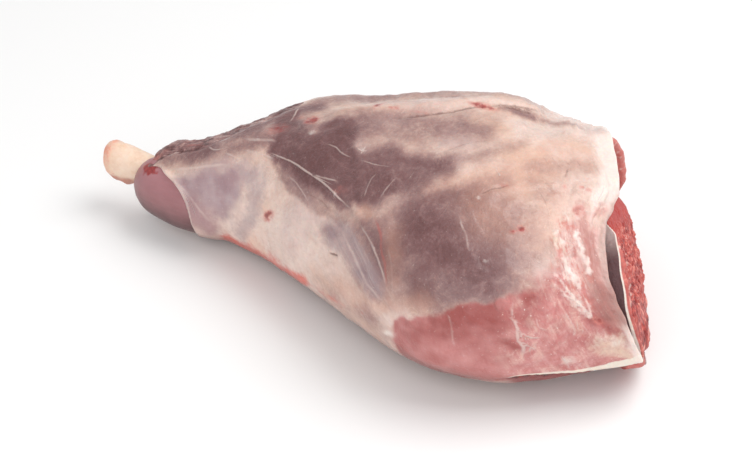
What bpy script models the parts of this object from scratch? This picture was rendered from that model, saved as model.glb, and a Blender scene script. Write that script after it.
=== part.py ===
"""Raw leg of lamb, bone in, lying on its inner side: two solids, the flesh and the shin bone.

The leg runs along X: the shank and its bare bone end at -X, the oblique butcher's cut at +X.
-Y is the back of the leg (calf, silverside), +Y its front (shin, knee, thick flank), +Z is up.
Metres. The origin is at the middle of the underside of the whole leg's bounding box.
"""

import math

import bmesh
import bpy
from mathutils import Vector

# Driving dimensions of the flesh. Each section across the leg has a back and a front reach, the
# place of its crest, and the heights of its crest, of its widest level and of its underside.
SECTION_KEYS = ("x", "back", "front", "crest", "top", "waist", "base")
SECTIONS = {
    "shin_end": (-0.152, -0.019, 0.012, -0.005, 0.055, 0.038, 0.022),
    "shin": (-0.132, -0.027, 0.020, -0.004, 0.062, 0.036, 0.011),
    "hock": (-0.104, -0.033, 0.043, 0.004, 0.076, 0.036, 0.002),
    "knee": (-0.074, -0.042, 0.065, 0.013, 0.089, 0.038, -0.001),
    "lower_thigh": (-0.035, -0.062, 0.074, 0.018, 0.099, 0.042, -0.002),
    "thigh": (0.008, -0.084, 0.083, 0.022, 0.106, 0.045, -0.003),
    "haunch": (0.052, -0.102, 0.092, 0.023, 0.110, 0.046, -0.003),
    "rump": (0.092, -0.096, 0.091, 0.021, 0.105, 0.045, -0.003),
    "chump": (0.126, -0.073, 0.086, 0.020, 0.096, 0.042, -0.003),
    "chump_end": (0.168, -0.040, 0.081, 0.019, 0.087, 0.038, -0.003),
}
UPPER_FULLNESS = 2.15  # superellipse powers: 2 is an ellipse, more is boxier
LOWER_FULLNESS = 2.7
SEGMENTS = 56
RING_STEP = 0.0078
SHIN_DOME = 0.012  # how far the shin muscles round off beyond their last section
DOME_RINGS = 4
DOME_CLOSE = 0.45  # share of the last section left flat round the bone
DOME_TURN = 0.98  # how nearly the dome's last ring lies across the bone

# The oblique cut through the chump: x = CUT_X - CUT_SLANT * y - CUT_LEAN * z.
CUT_X = 0.144
CUT_SLANT = 0.37
CUT_LEAN = 0.24
SLANT_START = 0.030  # sections turn from square to the cut's angle from here on
SLANT_PASSES = 6  # repeats that settle a slanted point, whose place and section size depend on each other
RIM_NOTCH = {"depth": 0.0065, "towards": 118.0, "half": 26.0}  # the fat's edge draws back here
CUT_PROFILE = (  # share of the way in to the middle of the face, how far it stands out, notch left
    (0.020, -0.0010, 1.00),
    (0.050, -0.0040, 0.85),
    (0.085, -0.0015, 0.45),
    (0.120, 0.0035, 0.20),
    (0.200, 0.0070, 0.00),
    (0.340, 0.0085, 0.00),
    (0.520, 0.0080, 0.00),
    (0.760, 0.0070, 0.00),
)
CUT_MIDDLE_BULGE = 0.0065
CUT_TOP_CALM = 0.90  # share of the bulge lost at the highest point of the face

# Long soft ridges and hollows on the outer side: start and end along X, angle round the section
# at each end, half width in degrees, height.
RIDGE_FADE = 0.3  # share of its length over which a ridge runs out at each end
RIDGES = {
    "fat_seam": (-0.035, 0.100, 62.0, 72.0, 6.0, 0.0016),
    "seam_hollow": (-0.030, 0.105, 74.0, 84.0, 7.0, -0.0016),
    "silverside": (0.000, 0.110, 150.0, 158.0, 16.0, 0.0030),
    "knee_cap": (-0.090, -0.055, 60.0, 66.0, 16.0, 0.0025),
    "popliteal": (-0.085, -0.005, 140.0, 150.0, 15.0, -0.0030),
}

# Calf muscle, a smooth pointed egg on the back of the shank.
CALF = {"centre": (-0.1290, -0.0140, 0.0265), "half": (0.048, 0.0215, 0.0255), "turn": -5.0}
CALF_BLUNTNESS = 0.8  # below 1 the egg's ends are blunter than an ellipse's
CALF_TAPER = 0.22  # share of the girth lost towards the knee
CALF_SEGMENTS, CALF_RINGS = 36, 24

# Lower end of the shin bone, which runs along X.
BONE_AXIS = {"y": -0.0050, "z": 0.0325}
BONE_TIP_X = -0.1975
BONE_SECTIONS = (  # distance from the tip, half width, half height, lift
    (0.0000, 0.0062, 0.0070, 0.0005),
    (0.0012, 0.0086, 0.0096, 0.0004),
    (0.0045, 0.0102, 0.0110, 0.0002),
    (0.0110, 0.0104, 0.0112, 0.0000),
    (0.0180, 0.0096, 0.0102, -0.0001),
    (0.0260, 0.0084, 0.0090, -0.0002),
    (0.0360, 0.0078, 0.0082, -0.0002),
    (0.0520, 0.0074, 0.0076, 0.0000),
    (0.0800, 0.0070, 0.0072, 0.0000),
    (0.0850, 0.0050, 0.0052, 0.0000),
)
BONE_SEGMENTS = 24
ANKLE_KNOBS = {"low": (0.0125, 265.0, 32.0, 0.0026), "high": (0.0060, 95.0, 30.0, 0.0022)}
ANKLE_KNOB_LENGTH = 0.0075
FIT_GAP = 0.0003  # clearance between the bone and the flesh round it

COLOURS = {"flesh": (0.62, 0.36, 0.33, 1.0), "bone": (0.84, 0.69, 0.56, 1.0)}


def eased(t):
    """0 to 1 with a soft start and end."""
    t = min(1.0, max(0.0, t))
    return t * t * (3 - 2 * t)


def through(points, x):
    """Value at x of a smooth curve through (x, value) points, with x clamped to their range."""
    if x <= points[0][0]:
        return points[0][1]
    if x >= points[-1][0]:
        return points[-1][1]
    i = max(k for k in range(len(points) - 1) if points[k][0] <= x)
    (x0, v0), (x1, v1) = points[i], points[i + 1]
    before = points[max(i - 1, 0)]
    after = points[min(i + 2, len(points) - 1)]
    span = x1 - x0
    slope0 = (v1 - before[1]) / (x1 - before[0])
    slope1 = (after[1] - v0) / (after[0] - x0)
    t = (x - x0) / span
    return (
        v0 * (2 * t**3 - 3 * t**2 + 1)
        + v1 * (3 * t**2 - 2 * t**3)
        + span * slope0 * (t**3 - 2 * t**2 + t)
        + span * slope1 * (t**3 - t**2)
    )


def size_at(x):
    """The section's sizes at x, by name."""
    rows = SECTIONS.values()
    return {
        key: through([(row[0], row[k]) for row in rows], x)
        for k, key in enumerate(SECTION_KEYS)
        if key != "x"
    }


def relief(x, degrees):
    """Height of the ridges and hollows at x and an angle round the section."""
    height = 0.0
    for start, end, angle0, angle1, half, rise in RIDGES.values():
        along = (x - start) / (end - start)
        if -RIDGE_FADE < along < 1 + RIDGE_FADE:
            off = (degrees - (angle0 + (angle1 - angle0) * along)) / half
            fade = eased((along + RIDGE_FADE) / RIDGE_FADE) * eased((1 + RIDGE_FADE - along) / RIDGE_FADE)
            height += rise * fade * math.exp(-off * off)
    return height


def section_point(x, angle):
    """(y, z) on the flesh at x. Angle 0 is the front, 90 degrees the crest, 180 the back."""
    size = size_at(x)
    c, s = math.cos(angle), math.sin(angle)
    power = 2 / (UPPER_FULLNESS if s >= 0 else LOWER_FULLNESS)
    reach = size["front"] - size["crest"] if c >= 0 else size["crest"] - size["back"]
    height = size["top"] - size["waist"] if s >= 0 else size["waist"] - size["base"]
    rise = relief(x, math.degrees(angle))
    y = size["crest"] + math.copysign((reach + rise) * abs(c) ** power, c)
    z = size["waist"] + math.copysign((height + rise) * abs(s) ** power, s)
    return y, z


def angles(count):
    """Even angles round a section."""
    return [2 * math.pi * k / count for k in range(count)]


def notch(angle):
    """How far the rim of the cut draws back at an angle round the section."""
    off = (math.degrees(angle) - RIM_NOTCH["towards"]) / RIM_NOTCH["half"]
    return RIM_NOTCH["depth"] * math.exp(-off * off)


def flesh_ring(plane_x):
    """One section ring, slanted more and more towards the angle of the cut."""
    share = eased((plane_x - SLANT_START) / (CUT_X - SLANT_START))
    ring = []
    for angle in angles(SEGMENTS):
        x = plane_x
        for _ in range(SLANT_PASSES):
            y, z = section_point(x, angle)
            x = plane_x - share * (CUT_SLANT * y + CUT_LEAN * z) - share**4 * notch(angle)
        ring.append(Vector((x, y, z)))
    return ring


def dome_rings():
    """The shin muscles' rounded end, closing round the bone."""
    first = flesh_ring(SECTIONS["shin_end"][0])
    middle = Vector((first[0].x, BONE_AXIS["y"], BONE_AXIS["z"]))
    rings = []
    for k in range(DOME_RINGS, 0, -1):
        t = k / DOME_RINGS
        scale = 1 - (1 - DOME_CLOSE) * (1 - math.sqrt(1 - DOME_TURN * t * t))
        back = Vector((-SHIN_DOME * t, 0, 0))
        rings.append([middle + (point - middle) * scale + back for point in first])
    return rings


def cut_rings(rim):
    """The face of the cut, from its rim inwards: a hollow under the skin, then bulging meat."""
    flat = [p + Vector((notch(angle), 0, 0)) for p, angle in zip(rim, angles(SEGMENTS))]
    middle = sum(flat, Vector()) / len(flat)
    outward = Vector((1, CUT_SLANT, CUT_LEAN)).normalized()
    highest = max(point.z for point in rim)
    rings = []
    for share, push, notch_left in CUT_PROFILE:
        ring = []
        for point, angle in zip(flat, angles(SEGMENTS)):
            inner = point.lerp(middle, share)
            calm = 1 - CUT_TOP_CALM * (max(inner.z, 0) / highest) ** 2 if push > 0 else 1
            back = Vector((notch(angle) * notch_left, 0, 0))
            ring.append(inner + outward * push * calm - back)
        rings.append(ring)
    return rings, middle + outward * CUT_MIDDLE_BULGE


def on_the_board(point):
    """Flattens what would reach below the surface that the leg lies on."""
    return Vector((point.x, point.y, max(point.z, 0.0)))


def loft(name, rings, first_tip=None, last_tip=None):
    """A closed skin over rings of equal count, ended by a fan to each tip."""
    bm = bmesh.new()
    loops = [[bm.verts.new(point) for point in ring] for ring in rings]
    count = len(loops[0])
    for lower, upper in zip(loops, loops[1:]):
        for k in range(count):
            n = (k + 1) % count
            bm.faces.new((lower[k], upper[k], upper[n], lower[n]))
    for loop, tip in ((loops[0], first_tip), (loops[-1], last_tip)):
        centre = bm.verts.new(tip or sum((v.co for v in loop), Vector()) / count)
        for k in range(count):
            bm.faces.new((loop[k], loop[(k + 1) % count], centre))
    bmesh.ops.recalc_face_normals(bm, faces=bm.faces)
    bmesh.ops.triangulate(bm, faces=bm.faces)
    mesh = bpy.data.meshes.new(name)
    bm.to_mesh(mesh)
    bm.free()
    mesh.shade_smooth()
    obj = bpy.data.objects.new(name, mesh)
    bpy.context.scene.collection.objects.link(obj)
    return obj


def plain_material(name, colour, roughness):
    """A Principled material of one colour."""
    made = bpy.data.materials.new(name)
    made.use_nodes = True
    shader = made.node_tree.nodes["Principled BSDF"]
    shader.inputs["Base Color"].default_value = colour
    shader.inputs["Roughness"].default_value = roughness
    shader.inputs["Metallic"].default_value = 0.0
    return made


def make_flesh():
    """Thigh and shin muscles as one skin along the leg, from the shin's end to the cut."""
    start = SECTIONS["shin_end"][0]
    steps = round((CUT_X - start) / RING_STEP)
    along = [flesh_ring(start + (CUT_X - start) * k / steps) for k in range(steps + 1)]
    face, face_middle = cut_rings(along[-1])
    rings = [[on_the_board(p) for p in ring] for ring in dome_rings() + along + face]
    return loft("leg_meat", rings, last_tip=on_the_board(face_middle))


def make_calf():
    """The calf muscle: an egg with its blunt end towards the foot."""
    cx, cy, cz = CALF["centre"]
    length, width, height = CALF["half"]
    turn = math.radians(CALF["turn"])
    rings = []
    for k in range(1, CALF_RINGS):
        t = math.pi * k / CALF_RINGS
        along, taper = -math.cos(t), 1 - CALF_TAPER * (1 - math.cos(t)) / 2
        girth = taper * math.sin(t) ** CALF_BLUNTNESS
        ring = []
        for angle in angles(CALF_SEGMENTS):
            x = length * along
            y = width * girth * math.cos(angle)
            z = height * girth * math.sin(angle)
            place = (
                cx + x * math.cos(turn) - y * math.sin(turn),
                cy + x * math.sin(turn) + y * math.cos(turn),
                cz + z,
            )
            ring.append(on_the_board(Vector(place)))
        rings.append(ring)
    return loft("calf_muscle", rings)


def make_bone(name, grow=0.0):
    """The shin bone's lower end, with the two knobs of the ankle. grow swells it for a cutter."""
    rings = []
    for distance, half_width, half_height, lift in BONE_SECTIONS:
        ring = []
        for angle in angles(BONE_SEGMENTS):
            swell = grow
            for at, towards, half, rise in ANKLE_KNOBS.values():
                turn = (math.degrees(angle) - towards + 180) % 360 - 180
                off = (distance - at) / ANKLE_KNOB_LENGTH
                swell += rise * math.exp(-((turn / half) ** 2) - off * off)
            y = BONE_AXIS["y"] + (half_width + swell) * math.cos(angle)
            z = BONE_AXIS["z"] + lift + (half_height + swell) * math.sin(angle)
            end = -grow if distance == 0 else grow if distance == BONE_SECTIONS[-1][0] else 0
            ring.append(Vector((BONE_TIP_X + distance + end, y, z)))
        rings.append(ring)
    return loft(name, rings)


def join_in(body, other, operation):
    """Adds a Boolean to body and keeps the other object as a hidden helper."""
    other.hide_render = True
    other.display_type = "WIRE"
    modifier = body.modifiers.new(other.name, "BOOLEAN")
    modifier.operation = operation
    modifier.solver = "EXACT"
    modifier.object = other


def set_origin(objects, shown):
    """Moves every mesh so that the shown ones stand on z = 0, centred on x = y = 0."""
    bpy.context.view_layer.update()
    graph = bpy.context.evaluated_depsgraph_get()
    corners = []
    for obj in shown:
        mesh = obj.evaluated_get(graph).to_mesh()
        corners += [v.co.copy() for v in mesh.vertices]
    low = [min(c[i] for c in corners) for i in range(3)]
    high = [max(c[i] for c in corners) for i in range(3)]
    shift = Vector((-(low[0] + high[0]) / 2, -(low[1] + high[1]) / 2, -low[2]))
    for obj in objects:
        for vertex in obj.data.vertices:
            vertex.co += shift


def main():
    for obj in list(bpy.data.objects):
        bpy.data.objects.remove(obj)
    flesh = make_flesh()
    calf = make_calf()
    bone = make_bone("shank_bone")
    socket = make_bone("bone_socket", FIT_GAP)
    join_in(flesh, calf, "UNION")
    join_in(flesh, socket, "DIFFERENCE")
    set_origin((flesh, calf, bone, socket), (flesh, bone))
    flesh.data.materials.append(plain_material("raw_lamb", COLOURS["flesh"], 0.4))
    bone.data.materials.append(plain_material("bare_bone", COLOURS["bone"], 0.45))


main()
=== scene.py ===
import math

import bpy
import numpy as np
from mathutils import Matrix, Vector
from mathutils.bvhtree import BVHTree


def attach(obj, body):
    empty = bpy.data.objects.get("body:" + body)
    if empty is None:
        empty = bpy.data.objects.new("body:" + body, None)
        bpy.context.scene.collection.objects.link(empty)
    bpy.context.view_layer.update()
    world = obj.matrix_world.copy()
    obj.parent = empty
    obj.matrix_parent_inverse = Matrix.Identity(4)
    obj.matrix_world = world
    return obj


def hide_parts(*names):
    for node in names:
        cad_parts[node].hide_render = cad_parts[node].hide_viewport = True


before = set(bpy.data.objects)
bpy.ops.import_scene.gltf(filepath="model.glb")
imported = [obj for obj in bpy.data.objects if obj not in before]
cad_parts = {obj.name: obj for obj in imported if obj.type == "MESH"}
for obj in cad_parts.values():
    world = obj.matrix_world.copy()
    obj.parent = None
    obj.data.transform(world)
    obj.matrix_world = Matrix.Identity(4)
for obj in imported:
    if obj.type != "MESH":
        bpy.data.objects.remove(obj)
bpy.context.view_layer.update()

mm = 0.001


def say(text):
    print("leg of lamb:", text, flush=True)


def ramp(value, low, high):  # 0 at low, 1 at high, soft between
    t = np.clip((value - low) / (high - low), 0.0, 1.0)
    return t * t * (3.0 - 2.0 * t)


def unit(vectors):
    return vectors / np.maximum(np.linalg.norm(vectors, axis=-1, keepdims=True), 1e-12)


def keyed(value, keys):  # a smooth curve through (place, amount) keys
    places, amounts = np.array(keys, float).T
    spot = np.clip(np.searchsorted(places, value) - 1, 0, len(places) - 2)
    return amounts[spot] + (amounts[spot + 1] - amounts[spot]) * ramp(value, places[spot], places[spot + 1])


def smoothed(field, times, axis, wraps=False):  # repeated 1-2-1 averaging
    for _ in range(times):
        if wraps:
            before, after = np.roll(field, 1, axis), np.roll(field, -1, axis)
        else:
            spots = np.arange(field.shape[axis])
            before = np.take(field, np.maximum(spots - 1, 0), axis)
            after = np.take(field, np.minimum(spots + 1, len(spots) - 1), axis)
        field = (before + 2 * field + after) / 4
    return field


def curveThrough(points, step, closed=False):  # a smooth line through the points, sampled every step
    points = np.array(points, float)
    if closed:
        ends = np.vstack([points[-1:], points, points[:2]])
    else:
        ends = np.vstack([2 * points[0] - points[1], points, 2 * points[-1] - points[-2]])
    out = []
    for k in range(1, len(ends) - 2):
        p0, p1, p2, p3 = ends[k - 1:k + 3]
        count = max(2, int(np.linalg.norm(p2 - p1) / step))
        t = (np.arange(count) / count)[:, None]
        bend = (2 * p0 - 5 * p1 + 4 * p2 - p3) * t**2 + (3 * p1 - p0 - 3 * p2 + p3) * t**3
        out.append(0.5 * (2 * p1 + (p2 - p0) * t + bend))
    out.append(points[:1] if closed else points[-1:])
    return np.vstack(out)


gradientTable = unit(np.random.default_rng(41).normal(size=(256, 3)))


def noiseAt(points, size, seed=0):  # smooth lumps about one size across, from -1 to 1
    p = np.asarray(points, float) / size + seed * 17.31
    cell = np.floor(p).astype(np.int64)
    f = p - cell
    w = f * f * f * (f * (f * 6 - 15) + 10)
    total = np.zeros(p.shape[:-1])
    for corner in np.ndindex(2, 2, 2):
        c = cell + corner
        mixed = (c[..., 0] * 73856093) ^ (c[..., 1] * 19349663) ^ (c[..., 2] * 83492791)
        mixed = (mixed ^ (mixed >> 13)) * 1274126177
        grad = gradientTable[(mixed ^ (mixed >> 16)) & 255]
        near = np.where(corner, w, 1 - w).prod(axis=-1)
        total += near * ((f - corner) * grad).sum(axis=-1)
    return np.clip(total * 1.9, -1, 1)


def layered(points, size, layers=3, seed=0):
    total, strength = 0.0, 1.0
    for k in range(layers):
        total = total + noiseAt(points, size / 2**k, seed + k) * strength
        strength *= 0.5
    return total / (2 - 2 * strength)


def blank(name, segments, rings):  # a round body to be shaped, with each point's ring and segment
    bpy.ops.object.select_all(action="DESELECT")
    bpy.ops.mesh.primitive_uv_sphere_add(segments=segments, ring_count=rings, radius=1.0)
    piece = bpy.context.active_object
    piece.name = name
    piece.data.name = name
    bpy.ops.object.shade_smooth()
    co = np.empty(len(piece.data.vertices) * 3)
    piece.data.vertices.foreach_get("co", co)
    co = co.reshape(-1, 3)
    ring = np.rint(np.arccos(np.clip(co[:, 2], -1, 1)) / math.pi * rings).astype(int)
    segment = np.rint(np.arctan2(co[:, 1], co[:, 0]) / (2 * math.pi) * segments).astype(int) % segments
    segment[(ring == 0) | (ring == rings)] = 0
    return piece, ring, segment


def shapeTo(piece, points):
    piece.data.vertices.foreach_set("co", np.ascontiguousarray(points, float).ravel())
    piece.data.update()
    bpy.ops.object.select_all(action="DESELECT")
    bpy.context.view_layer.objects.active = piece
    piece.select_set(True)
    bpy.ops.object.mode_set(mode="EDIT")
    bpy.ops.mesh.select_all(action="SELECT")
    bpy.ops.mesh.normals_make_consistent(inside=False)
    bpy.ops.object.mode_set(mode="OBJECT")


def storeMask(piece, name, values):
    made = piece.data.attributes.new(name, "FLOAT", "POINT")
    made.data.foreach_set("value", np.ascontiguousarray(values, np.float32).ravel())


# The leg is measured once. A place on it is (along, down): millimetres from the shank's end towards
# the cut, and millimetres down the near side from the crest. A minus takes it over to the far side.
legMeasure = {
    "axis": ((-0.150, 0.004, 0.036), (-0.110, 0.008, 0.038), (-0.060, 0.014, 0.042),
             (0.020, 0.010, 0.046), (0.090, 0.010, 0.047), (0.170, 0.024, 0.044)),
    "firstRing": -0.1430,
    "rimRing": 0.1655,
    "rings": 262,
    "shankCrowding": 1.5,   # how much closer the rings stand at the shank
    "columns": 344,
    "castAngles": 540,
    "farShare": 0.6,        # how densely the far side is divided
    "undersideShare": 0.45,
    "slantFrom": 0.052,
    "slant": 0.37,
    "lean": 0.24,
    "rimWave": ((-190, 0), (-160, -5), (-135, -9), (-100, -9), (-70, -5), (-45, -0.5), (-20, 3), (-8, 4.4),
                (10, 5), (22, 4.6), (32, 0.8), (44, -4.2), (56, -5.6), (74, -5.6), (86, -3), (100, 0.5), (115, 3.4),
                (126, 5.6), (145, 4.5), (165, 3.5), (185, 2), (200, 0)),
    "rimWaveReach": 46.0,
}

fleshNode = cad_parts["leg_meat"]
fleshTree = BVHTree.FromPolygons([v.co.copy() for v in fleshNode.data.vertices],
                                 [tuple(p.vertices) for p in fleshNode.data.polygons])
cutNormal = unit(np.array([1.0, legMeasure["slant"], legMeasure["lean"]]))


def slantShare(plane):
    return ramp(plane, legMeasure["slantFrom"], legMeasure["rimRing"])


def castRing(plane, angles):  # the flesh's outline in one ring, found from outside towards the leg's axis
    m = legMeasure
    axis = np.array(m["axis"])
    cy, cz = np.interp(plane, axis[:, 0], axis[:, 1]), np.interp(plane, axis[:, 0], axis[:, 2])
    share = float(slantShare(plane))
    origin = Vector((plane - share * (m["slant"] * cy + m["lean"] * cz), cy, cz))
    radii = []
    for angle in angles:
        c, s = math.cos(angle), math.sin(angle)
        outwards = Vector((-share * (m["slant"] * c + m["lean"] * s), c, s))
        hit = fleshTree.ray_cast(origin + outwards * 0.25, -outwards, 0.25 * outwards.length)[0]
        radii.append(0.0085 if hit is None else max(math.hypot(hit.y - cy, hit.z - cz), 0.0085))
    return cy, cz, share, np.array(radii)


def measureLeg():
    m = legMeasure
    angles = -math.pi / 2 + 2 * math.pi * np.arange(m["castAngles"]) / m["castAngles"]
    share = np.linspace(0, 1, m["rings"])
    share = share ** m["shankCrowding"] * 0.5 + share * 0.5
    planes = m["firstRing"] + (m["rimRing"] - m["firstRing"]) * share
    rows = [castRing(plane, angles) for plane in planes]
    radii = np.array([row[3] for row in rows])
    radii[-4:] = radii[-5]   # past this the outline would fall off the cut's edge
    radii = smoothed(radii, 20, 0)
    radii = smoothed(radii, 26, 1, wraps=True)
    grid = np.empty((m["rings"], m["columns"], 3))
    down = np.empty((m["rings"], m["columns"]))
    wholeTurn = np.append(angles, angles[0] + 2 * math.pi)
    under = 1 - ramp(np.sin(angles), -0.75, -0.25)
    far = ramp(np.cos(angles), 0.35, 0.75)
    density = 1 - (1 - m["undersideShare"]) * under - (1 - m["farShare"]) * far * (1 - under)
    for i, (cy, cz, slant, _) in enumerate(rows):
        y = cy + radii[i] * np.cos(angles)
        z = np.maximum(cz + radii[i] * np.sin(angles), 0.0)
        x = planes[i] - slant * (m["slant"] * y + m["lean"] * z)
        outline = np.stack([x, y, z], 1)
        outline = np.vstack([outline, outline[:1]])
        steps = np.linalg.norm(np.diff(outline, axis=0), axis=1)
        length = np.append(0, np.cumsum(steps))
        weight = np.append(0, np.cumsum(steps * density))
        wanted = weight[-1] * np.arange(m["columns"]) / m["columns"]
        for k in range(3):
            grid[i, :, k] = np.interp(wanted, weight, outline[:, k])
        down[i] = np.interp(wanted, weight, length) - np.interp(math.pi / 2, wholeTurn, length)
    along = np.repeat((planes - planes[0])[:, None], m["columns"], 1)
    return grid, along / mm, down / mm


def gridNormals(grid):
    lengthwise = np.gradient(grid, axis=0)
    across = (np.roll(grid, -1, 1) - np.roll(grid, 1, 1)) / 2
    return unit(np.cross(across, lengthwise))


legGrid, legAlong, legDown = measureLeg()
legNormal = gridNormals(legGrid)
legNormal = smoothed(smoothed(legNormal, 6, 0), 6, 1, wraps=True)
legNormal = unit(legNormal)
legChart = np.stack([legAlong, legDown, np.zeros_like(legAlong)], -1)
legGirth = legDown.max(1) - legDown.min(1)
say(f"measured {legGrid.shape[0]} rings, {legAlong.max():.0f} mm long, {legGirth.max():.0f} mm round")


def curvedGap(points, curve):  # nearest distance to a sampled curve, which side, and how far along it
    a, b = curve[:-1], curve[1:]
    step = b - a
    size = np.maximum((step**2).sum(1), 1e-12)
    offset = points[:, None, :] - a[None]
    t = np.clip((offset * step[None]).sum(2) / size, 0, 1)
    away = offset - t[..., None] * step[None]
    gap = np.sqrt((away**2).sum(2))
    best = gap.argmin(1)
    row = np.arange(len(points))
    side = np.sign(step[best, 0] * offset[row, best, 1] - step[best, 1] * offset[row, best, 0])
    share = (best + t[row, best]) / len(a)
    return gap[row, best], np.where(side == 0, 1, side), share


def near(curve, reach):  # the leg's points whose chart place is within reach of the curve's box
    low, high = curve.min(0) - reach, curve.max(0) + reach
    return ((legAlong > low[0]) & (legAlong < high[0]) & (legDown > low[1]) & (legDown < high[1]))


def inside(outline, reach=30.0):  # millimetres inside an outline on the leg, minus outside it
    curve = curveThrough(outline, 2.5, closed=True)
    depth = np.full(legAlong.shape, -reach)
    at = near(curve, reach)
    points = legChart[at][:, :2]
    gap = curvedGap(points, curve)[0]
    x, y = points[:, :1], points[:, 1:]
    x0, y0, x1, y1 = curve[:-1, 0], curve[:-1, 1], curve[1:, 0], curve[1:, 1]
    crosses = (y0 > y) != (y1 > y)
    reachX = x0 + (y - y0) * (x1 - x0) / np.where(y1 == y0, 1e-9, y1 - y0)
    within = ((crosses & (x < reachX)).sum(1) % 2) == 1
    depth[at] = np.clip(np.where(within, gap, -gap), -reach, reach)
    return depth


def strokes(lines, spread=5.0):  # signed distance to the nearest line over its half width, and its strength
    side = np.full(legAlong.shape, spread)
    hold = np.zeros(legAlong.shape)
    for points, halfWidth, power in lines:
        curve = curveThrough(points, 1.5)
        at = np.argwhere(near(curve, spread * halfWidth))
        spots = tuple(at.T)
        gap, turn, share = curvedGap(legChart[spots][:, :2], curve)
        gap = gap / halfWidth
        taper = np.clip(np.minimum(share, 1 - share) * 5, 0, 1) ** 0.7
        nearer = (gap < np.abs(side[spots])) & (gap < spread)
        chosen = tuple(at[nearer].T)
        side[chosen] = (gap * turn)[nearer]
        hold[chosen] = (power * taper * ramp(-gap, -spread, -spread * 0.5))[nearer]
    return side, hold


def spots(places, bite=2.2):  # round soft spots: place, radius, strength
    total = np.zeros(legAlong.shape)
    for place, radius, power in places:
        wide, high = radius if isinstance(radius, tuple) else (radius, radius)
        gap = np.hypot((legAlong - place[0]) / wide, (legDown - place[1]) / high)
        total = np.maximum(total, power * np.exp(-gap**bite))
    return total


# Where the fat is thin, dark muscle shows through. A place has an outline, an edge in mm and a strength.
windows = {
    "knee": (((83, 28), (84, 20), (78, 8), (78, -2), (86, -5), (97, 10), (106, 15), (112, 7), (121, 2),
              (133, 8), (137, 22), (144, 36), (156, 56), (149, 64), (138, 60), (122, 52), (108, 44),
              (94, 36)), 6.0, 0.74),
    "kneeLow": (((84, 28), (95, 43), (106, 53), (118, 60), (130, 67), (141, 71), (152, 76), (157, 66), (143, 57),
                 (128, 48), (112, 40), (100, 33)), 3.5, 0.34),
    "thigh": (((142, 34), (145, 26), (157, 21), (170, 22), (184, 24), (196, 21), (203, 28), (204, 36), (195, 44),
               (186, 51), (177, 57), (168, 61), (160, 62), (154, 56), (147, 44)), 13.0, 0.64),
}
# A wash is a soft brush stroke: its path, its half width in mm and its strength.
# Most of these washes show muscle through thin fat; two strokes just below the crown ridge are painted shade.
thinFatAndShadeWashes = (
    (((98, 14), (108, 27), (118, 40)), 15, 0.70), (((150, 42), (166, 48)), 12, 0.5),
    (((126, 12), (131, 30)), 10, 0.5), (((134, 2), (140, 12)), 7, 0.25),
    (((204, 76), (220, 84), (232, 90)), 18, 0.80), (((192, 86), (206, 68), (234, 66)), 24, 0.58),
    (((188, 54), (205, 51), (222, 47)), 8, 0.42), (((212, 108), (230, 104), (243, 96)), 12, 0.58),
    (((166, 74), (178, 86), (190, 102)), 10, 0.50), (((198, 30), (214, 21), (230, 10), (242, 2)), 7, 0.46),
    (((136, 8), (158, 6), (182, 2), (206, -5)), 15, 0.44), (((58, 5), (76, -3), (94, -13)), 9, 0.55),
    (((112, -3), (132, -5), (147, -7), (164, -9), (180, -10), (200, -15)), 9, 0.30), (((76, -4), (84, -9), (93, -12)), 6, 0.45),
    # painted shade: the first stroke on the next line lies just below the crown ridge, where its shade falls
    (((219, -31), (244, -35), (270, -34), (290, -38)), 4, 0.36), (((14, 2), (44, 4), (66, 8)), 10, 0.50),
    (((10, 15), (24, 17), (40, 17)), 7, 0.62), (((173, 101), (176, 103)), 3.6, 0.5), (((142, 77), (148, 80)), 4, 0.5),
    (((34, 17), (58, 21), (82, 20)), 8, 0.50), (((234, 45), (250, 58), (254, 84)), 14, 0.38), (((262, 30), (267, 50), (268, 64)), 11, 0.2),
    (((240, 24), (262, 30), (284, 36)), 16, 0.16), (((252, 16), (270, 13), (296, 6)), 7, 0.28),
    (((100, -30), (140, -40), (188, -50), (228, -54)), 15, 0.46), (((148, 120), (176, 132), (192, 142)), 9, 0.28),
    (((90, -84), (160, -112), (240, -132)), 30, 0.62), (((36, -50), (70, -70)), 16, 0.6),
    (((150, -170), (230, -180)), 26, 0.4), (((60, 86), (80, 98)), 6, 0.15),
    (((226, 126), (240, 119), (254, 112), (268, 104)), 7, 0.30), (((140, 108), (158, 112)), 9, 0.18), (((176, 110), (196, 116), (216, 112)), 7, 0.28),
    (((164, 46), (164, 54), (170, 63)), 6, 0.28), (((164, 30), (176, 32), (186, 29)), 9, 0.28),
    (((220, 37), (231, 34), (240, 31)), 6, 0.22), (((178, 122), (186, 130)), 6, 0.3),
    # painted shade: the last stroke on the next line is the shade under the crown ridge's right end
    (((208, 52), (216, 66)), 12, 0.3), (((207, -30), (224, -32), (238, -33)), 3.2, 0.42),
)
fatWashes = (
    (((150, 70), (166, 68), (180, 57), (194, 44)), 6, 0.28), (((196, 42), (213, 28), (230, 15), (250, 4)), 7, 0.62),
    (((138, -12), (150, -15), (167, -21), (182, -28), (205, -35), (235, -42)), 3.2, 0.75),
    (((92, 12), (106, 17), (114, 11)), 3.0, 0.8), (((192, -38), (209, -41), (232, -43)), 2.0, 0.4),
    (((172, -13), (190, -15), (204, -14)), 6, 0.3),
)
bareMuscle = (((200, 131), (210, 126), (223, 117), (240, 108), (254, 101), (264, 94), (273, 86), (283, 82),
               (292, 87), (299, 95), (306, 104), (314, 112), (314, 130), (300, 136), (275, 150), (250, 160),
               (226, 172), (206, 168), (199, 148)), 7.0, 1.0)
pinkPlace = (((254, 100), (261, 88), (270, 76), (277, 66), (286, 48), (300, 38), (310, 60), (310, 96), (298, 112),
              (280, 104)), 12.0, 0.72)
# Reddish streaks by the rim: partly the fat's own red streaks, partly painted shade darkening towards the pocket.
rimRed = ((((299, 56), (302, 78), (303, 100)), 6, 0.9), (((292, 36), (296, 50)), 6, 0.5))
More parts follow.
